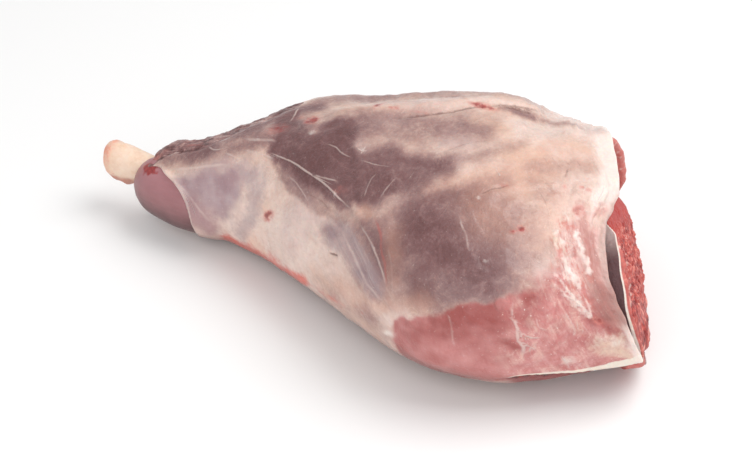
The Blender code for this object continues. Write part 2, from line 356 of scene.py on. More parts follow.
creamWashes = ((((292, 117), (302, 112)), 7, 0.62), (((300, 120), (306, 126)), 5, 0.5),
               (((276, 62), (282, 70)), 6, 0.5), (((284, 84), (283, 96), (283, 112)), 5, 0.4),
               (((288, 124), (300, 124)), 6, 0.5))
# Deeper red muscle, plus one stroke of painted shade where the leg meets the floor.
deepRedAndShadeWashes = (
    (((226, 120), (236, 114), (246, 113)), 9, 0.95), (((212, 132), (228, 128)), 8, 0.5),
    (((234, 124), (246, 126)), 8, 0.4), (((292, 102), (300, 104)), 6, 0.7), (((253, 127), (256, 129)), 3, 0.9),
    (((302, 96), (305, 112)), 5, 0.5), (((262, 100), (272, 90)), 6, 0.4), (((280, 120), (292, 118)), 5, 0.3),
    (((240, 134), (250, 140)), 8, 0.3), (((202, 134), (211, 142), (226, 152), (240, 158)), 12, 0.42),
    (((253, 100), (263, 99), (261, 110)), 7, 0.45),
    # painted shade: a dark contact line along the lower silhouette by the floor
    (((200, 150), (214, 163), (230, 170), (246, 174)), 5, 0.8),
)
tornShank = (((-4, 20), (8, 17), (18, 14), (32, 15), (44, 11), (58, 5), (72, -6), (80, -12), (78, -26),
              (50, -44), (14, -46), (-6, -20)), 6.0, 1.0)
silverPlace = (((22, 30), (42, 29), (62, 32), (72, 43), (72, 56), (62, 65), (50, 61), (37, 51), (28, 41)), 17.0,
               0.95)
flapEdge = ((240, 162), (250, 156), (258, 151), (272, 147), (286, 141), (300, 133), (308, 128), (322, 120))
coolWashes = (
    (((70, 36), (82, 48), (84, 66), (76, 78)), 8, 0.75), (((142, 78), (150, 82)), 8, 0.6),
    (((150, 80), (158, 84), (168, 93), (180, 104), (187, 112)), 8, 0.9), (((172, 101), (177, 104)), 4, 0.8),
    (((66, 66), (74, 84)), 6, 0.4),
)
warmWashes = (
    (((226, 40), (250, 24), (284, -2)), 20, 0.60), (((236, 60), (262, 62), (280, 40)), 16, 0.60),
    (((234, 27), (238, 25)), 8, 0.5), (((258, 2), (288, -6)), 7, 0.45), (((162, 64), (168, 68)), 4, 0.8),
    (((120, -14), (150, -16), (180, -26)), 9, 0.55), (((80, 92), (92, 98)), 6, 0.4),
    (((196, 48), (220, 30)), 8, 0.35), (((158, 110), (176, 119), (200, 119), (214, 116)), 8, 0.75),
    (((264, -4), (280, 0)), 8, 0.5), (((186, 78), (192, 92), (196, 106)), 7, 0.6),
)
edgeRed = ((((60, 86), (68, 90), (78, 96), (92, 104), (108, 109), (124, 113)), 6.0, 1.0), (((84, 88), (96, 98)), 8, 0.35),
           (((140, 118), (160, 124)), 4, 0.4))
rimPale = ((((303, -22), (304, 4), (304, 30)), 7, 0.95), (((299, 28), (302, 44)), 4, 0.5))
fatLumps = (   # the white lumps by the rim: path, half width, strength
    (((278, 59), (280, 63)), 2.6, 0.9), (((291, 55), (293, 62), (296, 68), (298, 74)), 2.1, 1.0),
    (((282, 73), (284, 78), (287, 84)), 1.8, 1.0), (((276, 84), (282, 91), (287, 97), (290, 101)), 1.0, 0.85),
    (((275, 89), (281, 94), (286, 100)), 0.8, 0.6), (((291, 91), (291, 97), (290, 102)), 0.7, 0.7),
    (((285, 66), (287, 70)), 1.1, 0.5), (((292, 80), (293, 88)), 1.0, 0.45), (((282, 46), (285, 48)), 1.4, 0.5),
    (((289, 43), (292, 45)), 1.3, 0.6), (((297, 62), (299, 74)), 0.9, 0.4),
)
bloodPlaces = (((96, 68), (4.0, 3.4), 0.8), ((101, 4), (4.2, 4.6), 1.0), ((82, 11), (7.0, 5.0), 0.62),
               ((136, -17), (3.0, 6.5), 0.85), ((142, 53), (5.5, 2.8), 0.5), ((255, 62), (2.6, 2.2), 0.95),
               ((251, 65), (2.4, 1.2), 0.8), ((279, 28), (1.6, 1.3), 0.7), ((289, 26), (1.5, 1.2), 0.6),
               ((293, 26), (1.6, 1.2), 0.65), ((291, 40), (4.6, 5.0), 0.46), ((303, 36), (4.2, 5.0), 0.46),
               ((197, -27), (9.0, 2.6), 0.8), ((148, -12), (5.0, 1.6), 0.45), ((294, 102), (3.0, 2.6), 0.8),
               ((4, 12), (4.5, 4.0), 0.5), ((165, -12), (6.0, 1.2), 0.4), ((90, 0), (6, 3), 0.3),
               ((176, 128), (0.9, 0.9), 0.7), ((134, 115), (12, 2.0), 0.25), ((239, 35), (4.0, 1.6), 0.4))
whitePlaces = (((284, 58), (3.0, 4.0), 0.4), ((285, 77), (4.0, 4.5), 0.3), ((107, 15), (3.4, 2.4), 0.4), ((196, 139), (4.5, 2.6), 0.7), ((298, 114), (9, 6), 0.5),
               ((140, 56), (0.8, 2.0), 0.6), ((144, 25), (0.9, 1.4), 0.6), ((226, 48), (1.6, 1.2), 0.6),
               ((240, 85), (0.9, 0.9), 0.8), ((276, 134), (3.2, 4.0), 0.5), ((158, -30), (9, 2.5), 0.55))

rimClumps = (((272, 78), (274, 62), (280, 50), (290, 50), (296, 62), (299, 80), (302, 96), (294, 98),
              (284, 92), (276, 88)), 7.0, 1.0)

paleLines = (
    (((6, 19), (14, 26), (24, 34), (33, 46), (38, 60), (38, 76)), 1.1, 0.9),
    (((13, 24), (29, 38), (42, 53), (54, 69)), 0.8, 0.55),
    (((17, 25), (38, 28), (61, 32)), 1.1, 0.6),
    (((39, 14), (46, 19), (53, 20)), 0.55, 0.6), (((54, 23), (61, 27), (69, 32)), 0.6, 0.5),
    (((12, 16), (16, 14), (20, 14)), 0.9, 0.6), (((62, 15), (74, 19), (87, 22)), 1.2, 0.5),
    (((66, 24), (78, 29), (90, 34)), 1.0, 0.5), (((84, 29), (92, 32), (103, 36), (115, 42), (131, 50),
     (143, 58), (156, 66)), 0.55, 1.0), (((120, 44), (128, 46), (139, 48)), 0.6, 0.7),
    (((119, 23), (127, 25), (133, 29), (142, 32)), 0.55, 0.5), (((103, 44), (112, 50), (124, 61)), 0.5, 0.45),
    (((161, 41), (159, 47), (160, 58)), 0.6, 0.42), (((174, 42), (171, 50), (170, 59)), 0.6, 0.42),
    (((146, 33), (156, 35), (168, 36)), 0.5, 0.45), (((86, 4), (85, -4), (84, -12)), 0.7, 0.6),
    (((219, 62), (223, 68), (227, 73), (231, 82)), 0.8, 0.5), (((228, 23), (231, 26), (234, 29)), 0.8, 0.7),
    (((151, 76), (160, 86), (168, 95), (181, 110), (196, 122)), 0.8, 0.5),
    (((157, 74), (166, 86), (176, 98), (186, 112)), 0.7, 0.3),
    (((164, 74), (172, 81), (179, 89), (188, 101), (194, 110)), 0.7, 0.65),
    (((146, 82), (158, 93), (170, 104), (184, 117)), 0.7, 0.25),
    (((186, 86), (193, 98), (198, 112), (201, 126)), 0.8, 0.25),
    (((226, 116), (229, 122), (230, 130), (231, 139)), 0.8, 0.3),
    (((255, 104), (255, 111), (257, 117), (257, 124), (259, 129), (257, 136)), 0.8, 1.0),
    (((257, 118), (262, 121), (267, 120)), 0.6, 0.6), (((257, 124), (262, 127), (264, 131)), 0.5, 0.6),
    (((253, 111), (255, 113), (258, 113)), 0.6, 0.7), (((265, 108), (266, 114), (270, 115)), 0.6, 0.55),
    (((276, 93), (283, 94), (289, 98), (292, 103)), 0.9, 0.9), (((273, 130), (275, 136), (276, 143)), 0.6, 0.7),
    (((283, 62), (281, 74), (284, 88), (290, 97)), 0.9, 0.55),
    (((278, 100), (281, 110), (280, 118)), 0.7, 0.5), (((284, 104), (288, 114), (290, 124)), 0.7, 0.45),
    (((140, 55), (140, 58)), 0.5, 0.5), (((141, 25), (144, 26), (148, 26)), 0.5, 0.9), (((145, 22), (145, 29)), 0.45, 0.8), (((296, 18), (299, 36), (301, 52)), 0.9, 0.5),
    (((288, 10), (291, 30), (293, 50)), 0.7, 0.35), (((302, 8), (304, 28), (305, 50)), 0.9, 0.5),
)
# Dark lines: partly dark seams, partly painted shade in creases and under the crown ridge.
darkAndShadeLines = (
    (((147, 90), (150, 91), (154, 92)), 0.8, 0.9), (((226, 46), (231, 40), (237, 37), (243, 34)), 0.7, 0.6),
    # painted shade: the next line runs just below the crown ridge, as does the second stroke on the line after it
    (((143, -3), (160, -7), (180, -16), (195, -26), (212, -34), (238, -40), (256, -42)), 1.3, 0.6),
    (((165, -34), (172, -36), (178, -37)), 0.7, 0.7), (((206, -31), (222, -34), (236, -36)), 1.2, 0.75), (((24, 35), (33, 48), (37, 60), (36, 76)), 0.7, 0.5),
    # painted shade: the strokes on the next two lines are small creases, darkened as shade
    (((260, 7), (264, 10), (267, 14)), 0.9, 0.3), (((268, 6), (271, 10)), 0.8, 0.3), (((276, 5), (279, 8), (281, 10)), 0.9, 0.3),
    (((280, 13), (279, 18), (278, 22)), 1.0, 0.45), (((272, 12), (276, 14)), 0.8, 0.3), (((285, 6), (288, 9)), 0.8, 0.3),
    (((229, 24), (232, 27), (234, 30)), 0.8, 0.4), (((250, 100), (247, 106), (251, 112)), 0.6, 0.3),
    (((262, 34), (268, 42), (272, 52)), 0.6, 0.35), (((190, 22), (202, 10), (218, 0)), 0.8, 0.3),
    (((120, 55), (132, 60), (140, 66)), 0.7, 0.4),
)
redLines = (
    (((171, 69), (177, 76), (181, 82), (184, 90), (189, 98), (194, 111)), 0.8, 0.7),
    (((250, 65), (253, 64), (256, 62)), 0.8, 0.7), (((62, 89), (76, 97), (92, 106), (110, 112)), 1.3, 0.7),
    (((270, 60), (276, 70), (279, 84)), 1.0, 0.5), (((288, 48), (289, 60), (290, 74)), 1.0, 0.5),
    (((296, 50), (299, 66), (301, 84)), 0.9, 0.4), (((20, 8), (28, 9), (37, 12)), 1.2, 0.6),
)


def smoothMax(total, layer):  # lays a mask over another without a crease
    return total + layer - total * layer


def filled(places, wander, fine):  # soft-edged outlines joined to one mask
    total = np.zeros(legAlong.shape)
    for outline, edge, power in places:
        depth = inside(outline) + (1.2 + edge * 0.35) * wander + min(edge, 3.0) * 0.45 * fine
        total = smoothMax(total, power * ramp(depth, -edge * 0.5, edge * 0.5))
    return total


def strokeGap(points, halfWidth, reach=3.5):  # distance to one line over its half width
    curve = curveThrough(points, 2.0)
    gap = np.full(legAlong.shape, 9.0)
    at = near(curve, reach * halfWidth)
    gap[at] = curvedGap(legChart[at][:, :2], curve)[0] / halfWidth
    return gap


def washed(washes, wander):  # soft brush strokes joined to one mask
    total = np.zeros(legAlong.shape)
    for path, halfWidth, power in washes:
        gap = strokeGap(path, halfWidth, 2.6) + 0.22 * wander
        total = smoothMax(total, power * np.exp(-np.maximum(gap, 0) ** 2))
    return total


def flapSide():  # millimetres below the flap's lower edge, minus above it
    curve = curveThrough(flapEdge, 1.5)
    side = np.full(legAlong.shape, -40.0)
    at = near(curve, 60.0) & (legDown > 60) & (legAlong > 238)
    distance, turn, _ = curvedGap(legChart[at][:, :2], curve)
    side[at] = distance * turn
    return side


def coverMasks():
    wander = layered(legGrid, 0.016, 3, 5)
    fine = layered(legGrid, 0.005, 2, 9)
    thin = washed(thinFatAndShadeWashes, wander) * (1 - washed(fatWashes, wander))
    masks = {
        "thin": smoothMax(thin * 0.98, filled(windows.values(), wander, fine)),
        "bare": smoothMax(filled([bareMuscle], wander, fine), filled([pinkPlace], wander, fine) * 0.75),
        "torn": filled([tornShank], wander, fine),
        "silver": filled([silverPlace], wander, fine),
        "cool": washed(coolWashes, wander),
        "deep": washed(deepRedAndShadeWashes, wander) * (1 + 0.4 * fine),
        "warm": washed(warmWashes, wander) * (1 + 0.3 * fine),
        # painted shade near the floor: the cover darkens below 22 mm height; the same mask also flattens the relief
        # there
        "under": 1 - ramp(legGrid[..., 2], 0.004, 0.022),
        "rimRed": washed(rimRed, wander),
        "cream": washed(creamWashes, wander),
        "flap": flapSide(),
        "lowRim": ramp(legDown, 14, 34) * (1 - ramp(legDown, 98, 112)) * ramp(legAlong, 280, 300),
        # painted shade: the cover's inner fold by the rim, darkened where it lies in shade
        "rimDusk": ramp(legDown, 72, 86) * (1 - ramp(legDown, 96, 106)) * ramp(legAlong, 288, 298),
        "wedge": washed([(((34, 52), (43, 61), (51, 72)), 8, 0.9)], wander),
        "edgeRed": washed(edgeRed, wander) * (1 + 0.3 * fine),
        "rimPale": washed(rimPale, wander),
        # painted shade: faces turned towards the floor are darkened, for the occlusion near the contact
        "turned": ramp(-legNormal[..., 2], 0.25, 0.75),
    }
    masks["torn"] *= 1 - 0.6 * ramp(-legDown, 20, 44)
    masks["coarse"] = masks["bare"] * ramp(legAlong + 6 * wander, 238, 262)
    masks["blood"] = np.clip(spots(bloodPlaces, 2.6) * (1 + 0.9 * layered(legGrid, 0.0032, 2, 14)), 0, 1)
    clumps = layered(np.stack([legAlong / 1.3 + legDown * 0.22, legDown / 2.6, 0 * legDown], -1), 3.6, 3, 8)
    clumped = filled([rimClumps], wander, fine)
    masks["white"] = np.clip(spots(whitePlaces) * (1 + 0.8 * fine), 0, 1)
    masks["clumps"] = clumped
    masks["lumpWhite"] = np.zeros(legAlong.shape)
    ragged = noiseAt(legGrid, 0.0022, 15)
    for path, halfWidth, power in fatLumps:
        gap = strokeGap(path, halfWidth * 1.25) + 0.8 * fine + 0.5 * wander + 0.75 * ragged
        masks["lumpWhite"] = np.maximum(masks["lumpWhite"], power * (1 - ramp(gap, -0.1, 1.7)))
    for name, lines in (("pale", paleLines), ("dark", darkAndShadeLines), ("red", redLines)):
        masks[name + "Side"], masks[name + "Hold"] = strokes(lines)
    return masks, clumps, clumped


legMasks, fatClumps, clumpedPlace = coverMasks()
say("laid out fat, windows, muscle and sinews")

fatCover = {
    "sheetEdge": ((-20, 12), (6, 20), (15, 27), (24, 35), (32, 46), (37, 60), (38, 76), (34, 92), (26, 110)),
    "tuckDepth": 3.4,        # how far the cover runs in under the bare calf, mm
    "lipRings": ((0.4, 0.5), (1.1, 0.8), (1.9, 0.4), (2.3, -1.2), (2.6, -3.6), (3.4, -6.0)),  # in, out, mm
    "capRings": 12,
    "capDepth": 26.0,        # the closed hollow behind the lip, filled by the cut meat, mm
    "foldsTurn": 46.0,       # the way that the membrane's folds run, degrees on the chart
    "crownRidge": ((118, -6), (138, -12), (150, -15), (167, -21), (182, -28), (205, -35), (235, -42)),
    "crestLine": ((90, -20), (138, -30), (180, -42), (210, -50), (262, -44), (300, -36)),
    "crestTrim": ((60, 0), (85, -1.5), (105, -2.6), (130, -2.2), (150, -0.3), (170, 1.6), (195, 2.8), (212, 2),
                  (230, -1), (246, -4.4), (264, -5), (280, -2.4), (294, -2.6), (308, 0)),
    "flapBand": ((246, 0.5), (275, 2.2), (300, 5.0), (312, 6.0)),     # how thick the flap's white edge is, mm
    "paleStrip": ((-200, 0), (82, 0), (92, 1.8), (106, 2.8), (122, 3.4), (136, 3.4), (200, 0)),   # the lip seen edge on
    "flapLift": ((246, 0), (262, 1.2), (280, 3.6), (300, 6.4), (312, 7.2)),
}


def coverRelief(k):  # how far each point stands out from the measured flesh, mm
    turn = math.radians(fatCover["foldsTurn"])
    foldAlong = legAlong * math.cos(turn) + legDown * math.sin(turn)
    foldAcross = legDown * math.cos(turn) - legAlong * math.sin(turn)
    flat = np.zeros_like(legAlong)
    folds = noiseAt(np.stack([foldAlong / 38, foldAcross / 4.6, flat], -1), 1.0, 3)
    folds += 0.6 * noiseAt(np.stack([foldAlong / 22, foldAcross / 2.4, flat], -1), 1.0, 4)
    calm = np.clip(1 - k["silver"] - 0.45 * k["thin"], 0.2, 1)
    relief = 0.8 * layered(legGrid, 0.030, 2, 1) * (1 - 0.5 * k["silver"])
    relief += 0.55 * layered(legGrid, 0.0105, 2, 2) * calm + 0.16 * noiseAt(legGrid, 0.0036, 11) * calm
    relief -= 1.1 * filled(windows.values(), flat, flat)
    streaks = washed([(((148, 80), (168, 96), (192, 118)), 16, 1.0)], flat)
    relief += (1.0 * streaks + 0.22 * ramp(legAlong, 90, 130)) * folds
    rim = ramp(legAlong, 258, 298)
    rimFolds = noiseAt(np.stack([legAlong / 4.4, legDown / 26, flat], -1), 1.0, 6)
    rimFolds += 0.6 * noiseAt(np.stack([legAlong / 2.3, legDown / 12, flat], -1), 1.0, 7)
    relief += 0.8 * rimFolds * rim
    coarse = np.maximum(k["coarse"], clumpedPlace)
    relief += 1.5 * ramp(fatClumps, -0.35, 0.6) * coarse - 0.8 * k["bare"] * (1 - 0.6 * rim)
    relief += 2.2 * np.exp(-strokeGap(fatCover["crownRidge"], 8.0) ** 2)
    relief -= 1.0 * k["darkHold"] * np.exp(-k["darkSide"] ** 2 / 1.6)
    relief += 0.3 * k["paleHold"] * np.exp(-k["paleSide"] ** 2 / 1.4)
    relief += 0.35 * k["redHold"] * np.exp(-k["redSide"] ** 2 / 1.6)
    relief += 0.7 * k["lumpWhite"]
    relief += 0.6 * k["white"] * (1 - clumpedPlace) + 0.6 * k["blood"] * noiseAt(legChart, 2.6, 12)
    steps = layered(legGrid, 0.010, 3, 20)
    relief += k["torn"] * (1.5 * (np.floor(steps * 3.2) / 3.2 + 0.35 * ramp(steps * 3.2 % 1, 0.4, 1)) - 0.4)
    crest = (legDown - keyed(legAlong, fatCover["crestLine"])) / 24
    relief += keyed(legAlong, fatCover["crestTrim"]) * np.exp(-crest ** 2)
    return relief


def sheetSide():  # millimetres from the cover's edge over the calf: minus where the calf is bare
    curve = curveThrough(fatCover["sheetEdge"], 1.5)
    gap = np.full(legAlong.shape, 40.0)
    at = near(curve, 60.0)
    distance, side, _ = curvedGap(legChart[at][:, :2], curve)
    gap[at] = distance * -side
    return np.where((legAlong < 60) & (legDown > 5), gap, 40.0)


def buildFatCover():
    k = legMasks
    relief = coverRelief(k)
    edge = sheetSide()
    relief += 0.8 * np.exp(-((edge - 1.0) / 1.6) ** 2)
    relief += 1.6 * ramp(edge, 0.5, 3.0) * (1 - ramp(edge, 10, 20)) * ramp(legDown, 40, 60) * (legAlong < 80)
    relief = np.where(edge < 0, relief * ramp(edge, -1.2, 0) - fatCover["tuckDepth"] * ramp(-edge, 0.0, 1.4), relief)
    relief *= 1 - 0.8 * k["under"]
    flap = k["flap"]
    relief *= 1 - 0.75 * np.exp(-(flap / 7) ** 2)
    lift = keyed(legAlong, fatCover["flapLift"])
    relief -= lift * ramp(flap, 0.0, 2.4) * (1 - ramp(flap, 34, 60)) + 0.9 * (lift > 0) * np.exp(-(flap - 1.5) ** 2)
    band = keyed(legAlong, fatCover["flapBand"])
    relief += 0.5 * ramp(lift, 0, 1) * ramp(flap, -band - 0.8, -band * 0.5) * (1 - ramp(flap, -0.4, 0.3))
    k = dict(k, flapThick=band, flapHold=ramp(lift, 0.0, 0.5) * (1 - ramp(flap, 26, 40)))
    wave = keyed(legDown, legMeasure["rimWave"]) * ramp(legAlong, legAlong.max() - legMeasure["rimWaveReach"],
                                                       legAlong.max())
    points = legGrid + legNormal * relief[..., None] * mm + cutNormal * wave[..., None] * mm
    points[..., 2] = np.maximum(points[..., 2], 0.0)
    rim = points[-1]
    heart = rim.mean(0)
    inwards = unit(heart - rim)
    rows = [points[0].mean(0)[None].repeat(len(rim), 0) - np.array([1.5 * mm, 0, 0])]
    rows.extend(points)
    for inset, out in fatCover["lipRings"]:
        rows.append(rim + inwards * inset * mm + cutNormal * out * mm)
    last = rows[-1]
    for i in range(1, fatCover["capRings"] + 1):
        share = (i / fatCover["capRings"]) ** 1.6
        sink = fatCover["capDepth"] * (1 - (1 - i / fatCover["capRings"]) ** 3)
        rows.append(last + (last.mean(0) - last) * share - cutNormal * sink * mm)
    rows = np.array(rows)
    rows[..., 2] = np.maximum(rows[..., 2], 0.0)
    piece, ring, segment = blank("fatCover", legGrid.shape[1], len(rows) - 1)
    shapeTo(piece, rows[ring, segment])
    extra = len(rows) - 1 - len(points)
    for name, values in k.items():
        whole = np.vstack([values[:1], values, np.repeat(values[-1:], extra, 0)])
        storeMask(piece, name, whole[ring, segment])
    lip = np.zeros((len(rows), len(rim)))
    lip[len(points) - 3:len(points) + 4] = np.array((0.1, 0.3, 0.6, 1, 1, 1, 0.8))[:, None]
    wide = keyed(legDown, fatCover["paleStrip"])
    fromRim = legAlong.max() - legAlong
    lip[1:len(points) + 1] = np.maximum(lip[1:len(points) + 1], (wide > 0) * (1 - ramp(fromRim, wide - 1.2, wide + 0.8)))
    aboveFlap = 1 - k["flapHold"][-1] * ramp(flap[-1], 0.0, 1.5)
    storeMask(piece, "lip", (lip * aboveFlap)[ring, segment])
    # painted shade: the hollow rows behind the lip are painted dark, as the shade inside the pocket
    inner = np.zeros(len(rows))
    inner[len(points) + 4:] = 1
    storeMask(piece, "pocket", (inner[:, None] * aboveFlap)[ring, segment])
    chart = np.concatenate([legChart[:1], legChart, np.repeat(legChart[-1:], extra, 0)])
    layChart(piece, chart[ring, segment][:, :2], legGirth.max())
    return piece


def layChart(piece, places, girth):  # the UV map holds along and down in decimetres
    mesh = piece.data
    corner = np.empty(len(mesh.loops), int)
    mesh.loops.foreach_get("vertex_index", corner)
    uv = places[corner] * 0.01
    start = np.empty(len(mesh.polygons), int)
    count = np.empty(len(mesh.polygons), int)
    mesh.polygons.foreach_get("loop_start", start)
    mesh.polygons.foreach_get("loop_total", count)
    owner = np.repeat(np.arange(len(start)), count)
    top = np.full(len(start), -9.0)
    np.maximum.at(top, owner, uv[:, 1])
    wraps = (top[owner] - uv[:, 1]) > girth * 0.005
    uv[:, 1] += np.where(wraps, top[owner] - uv[:, 1] + 0.01, 0)
    layer = mesh.uv_layers.active or mesh.uv_layers.new(name="legMap")
    layer.name = "legMap"
    layer.data.foreach_set("uv", uv.ravel())


coverPiece = buildFatCover()
say(f"fat cover shaped, {len(coverPiece.data.polygons)} faces")

calfMuscle = {
    "centre": (-0.1078, -0.0088, 0.0267),
    "half": (0.0478, 0.0212, 0.0241),
    "turn": -5.0,
    "bluntness": 0.68,
    "taper": 0.22,
    "rings": 110,
    "columns": 110,
}


def buildCalfMuscle():
    c = calfMuscle
    t = math.pi * np.arange(c["rings"] + 1) / c["rings"]
    around = 2 * math.pi * np.arange(c["columns"]) / c["columns"]
    taper = 1 - c["taper"] * (1 - np.cos(t)) / 2 - 0.45 * ramp(t, 1.75, 2.7)
    girth = (taper * np.sin(np.clip(t, 0, math.pi)) ** c["bluntness"])[:, None]
    girth[[0, -1]] = 0
    x = -c["half"][0] * np.cos(t)[:, None] * np.ones_like(around)[None]
    y = c["half"][1] * girth * np.cos(around)
    z = c["half"][2] * girth * np.sin(around)
    turn = math.radians(c["turn"])
    points = np.stack([c["centre"][0] + x * math.cos(turn) - y * math.sin(turn),
                       c["centre"][1] + x * math.sin(turn) + y * math.cos(turn),
                       c["centre"][2] + z], -1)
    out = unit(points - np.array(c["centre"]))
    swell = 0.5 * noiseAt(points, 0.017, 31) + 0.12 * noiseAt(points * (0.3, 1, 1), 0.0035, 32)
    dimple = np.exp(-((x[..., None] * 1.0 + 0.044) / 0.006)[..., 0] ** 2) * 0.6
    points = points + out * (swell - dimple)[..., None] * mm
    points[..., 2] = np.maximum(points[..., 2], 0.0)
    piece, ring, segment = blank("calfMuscle", c["columns"], c["rings"])
    shapeTo(piece, points[ring, segment])
    bite = np.array((-0.1425, -0.0150, 0.0456))   # the bloody spot where the bone goes in
    gap = np.linalg.norm((points - bite) * (0.8, 1.0, 1.25), axis=-1)
    blood = ramp(-gap + 0.0025 * noiseAt(points, 0.0035, 33), -0.0085, -0.0035)
    storeMask(piece, "blood", blood[ring, segment])
    # painted shade: lift runs from 0 at the calf's underside to 1 at its top, and the finish darkens the calf towards
    # the floor
    rise = ramp(points[..., 2], 0.008, 0.046)
    storeMask(piece, "lift", rise[ring, segment])
    return piece


calfPiece = buildCalfMuscle()
say("calf muscle shaped")

cutMeat = {
    "rings": 130,
    "columns": 520,
    "inset": ((-219, 3.4), (-60, 3.0), (0, 3.4), (20, 5.2), (118, 5.2), (130, 3.4), (138, 3.8), (150, 6.5), (176, 6.4), (196, 3.4), (219, 3.4)),   # its edge stands inside the cover's, mm
    "slope": ((-60, 0), (-30, 1.5), (-5, 3.2), (8, 4.0), (18, 5.2), (28, 8.4), (36, 16.0), (60, 17.0)),  # how far the top falls away, by height, mm
    "tuck": 8.0,              # how deep its edge goes into the pocket, mm
    "seams": (                # fat seams between the muscles on the cut face: across, up, mm from its middle
        (((-62, -8), (-36, 4), (-14, 2), (6, 12), (22, 34)), 1.5),
        (((6, 12), (30, 2), (52, 8), (74, 2)), 1.3),
        (((-14, 2), (-10, -18), (-16, -40)), 1.2),
        (((30, 2), (28, -18), (34, -38)), 1.0),
        (((-40, 3), (-42, 20), (-34, 32)), 0.9),
    ),
    "edgeOut": ((-200, 1), (-150, 0), (-130, -1), (-116, -5), (-100, -4), (-10, -4), (26, 0.5), (38, 4.4),
                (50, 8.2), (62, 8.3), (78, 7.6), (95, 6.9), (110, 7.4), (125, 8.4), (136, 8.0), (148, 4.4),
                (165, 0.5), (190, 0), (219, 0)),
    "edgeRound": 3.4,
    "edgeReach": 0.14,        # the share inwards over which the face leaves that height for its own
    "membrane": ((30, 0), (42, 1), (120, 1), (136, 0.3), (150, 0)),   # the thin white edge by the pocket
    "membraneDepth": ((40, 0.1), (62, 0.25), (82, 0.4), (96, 0.7), (112, 1.1), (126, 1.0), (142, 0.6)),
}


def castFace(points):  # the cut face's own depth under each point, along the cut's normal
    down = Vector(-cutNormal)
    found = []
    for p in points.reshape(-1, 3):
        origin = Vector(p + cutNormal * 0.05)
        hit = fleshTree.ray_cast(origin, down, 0.09)[0]
        found.append(np.nan if hit is None else 0.05 - (hit - origin).length)
    return np.array(found).reshape(points.shape[:-1])


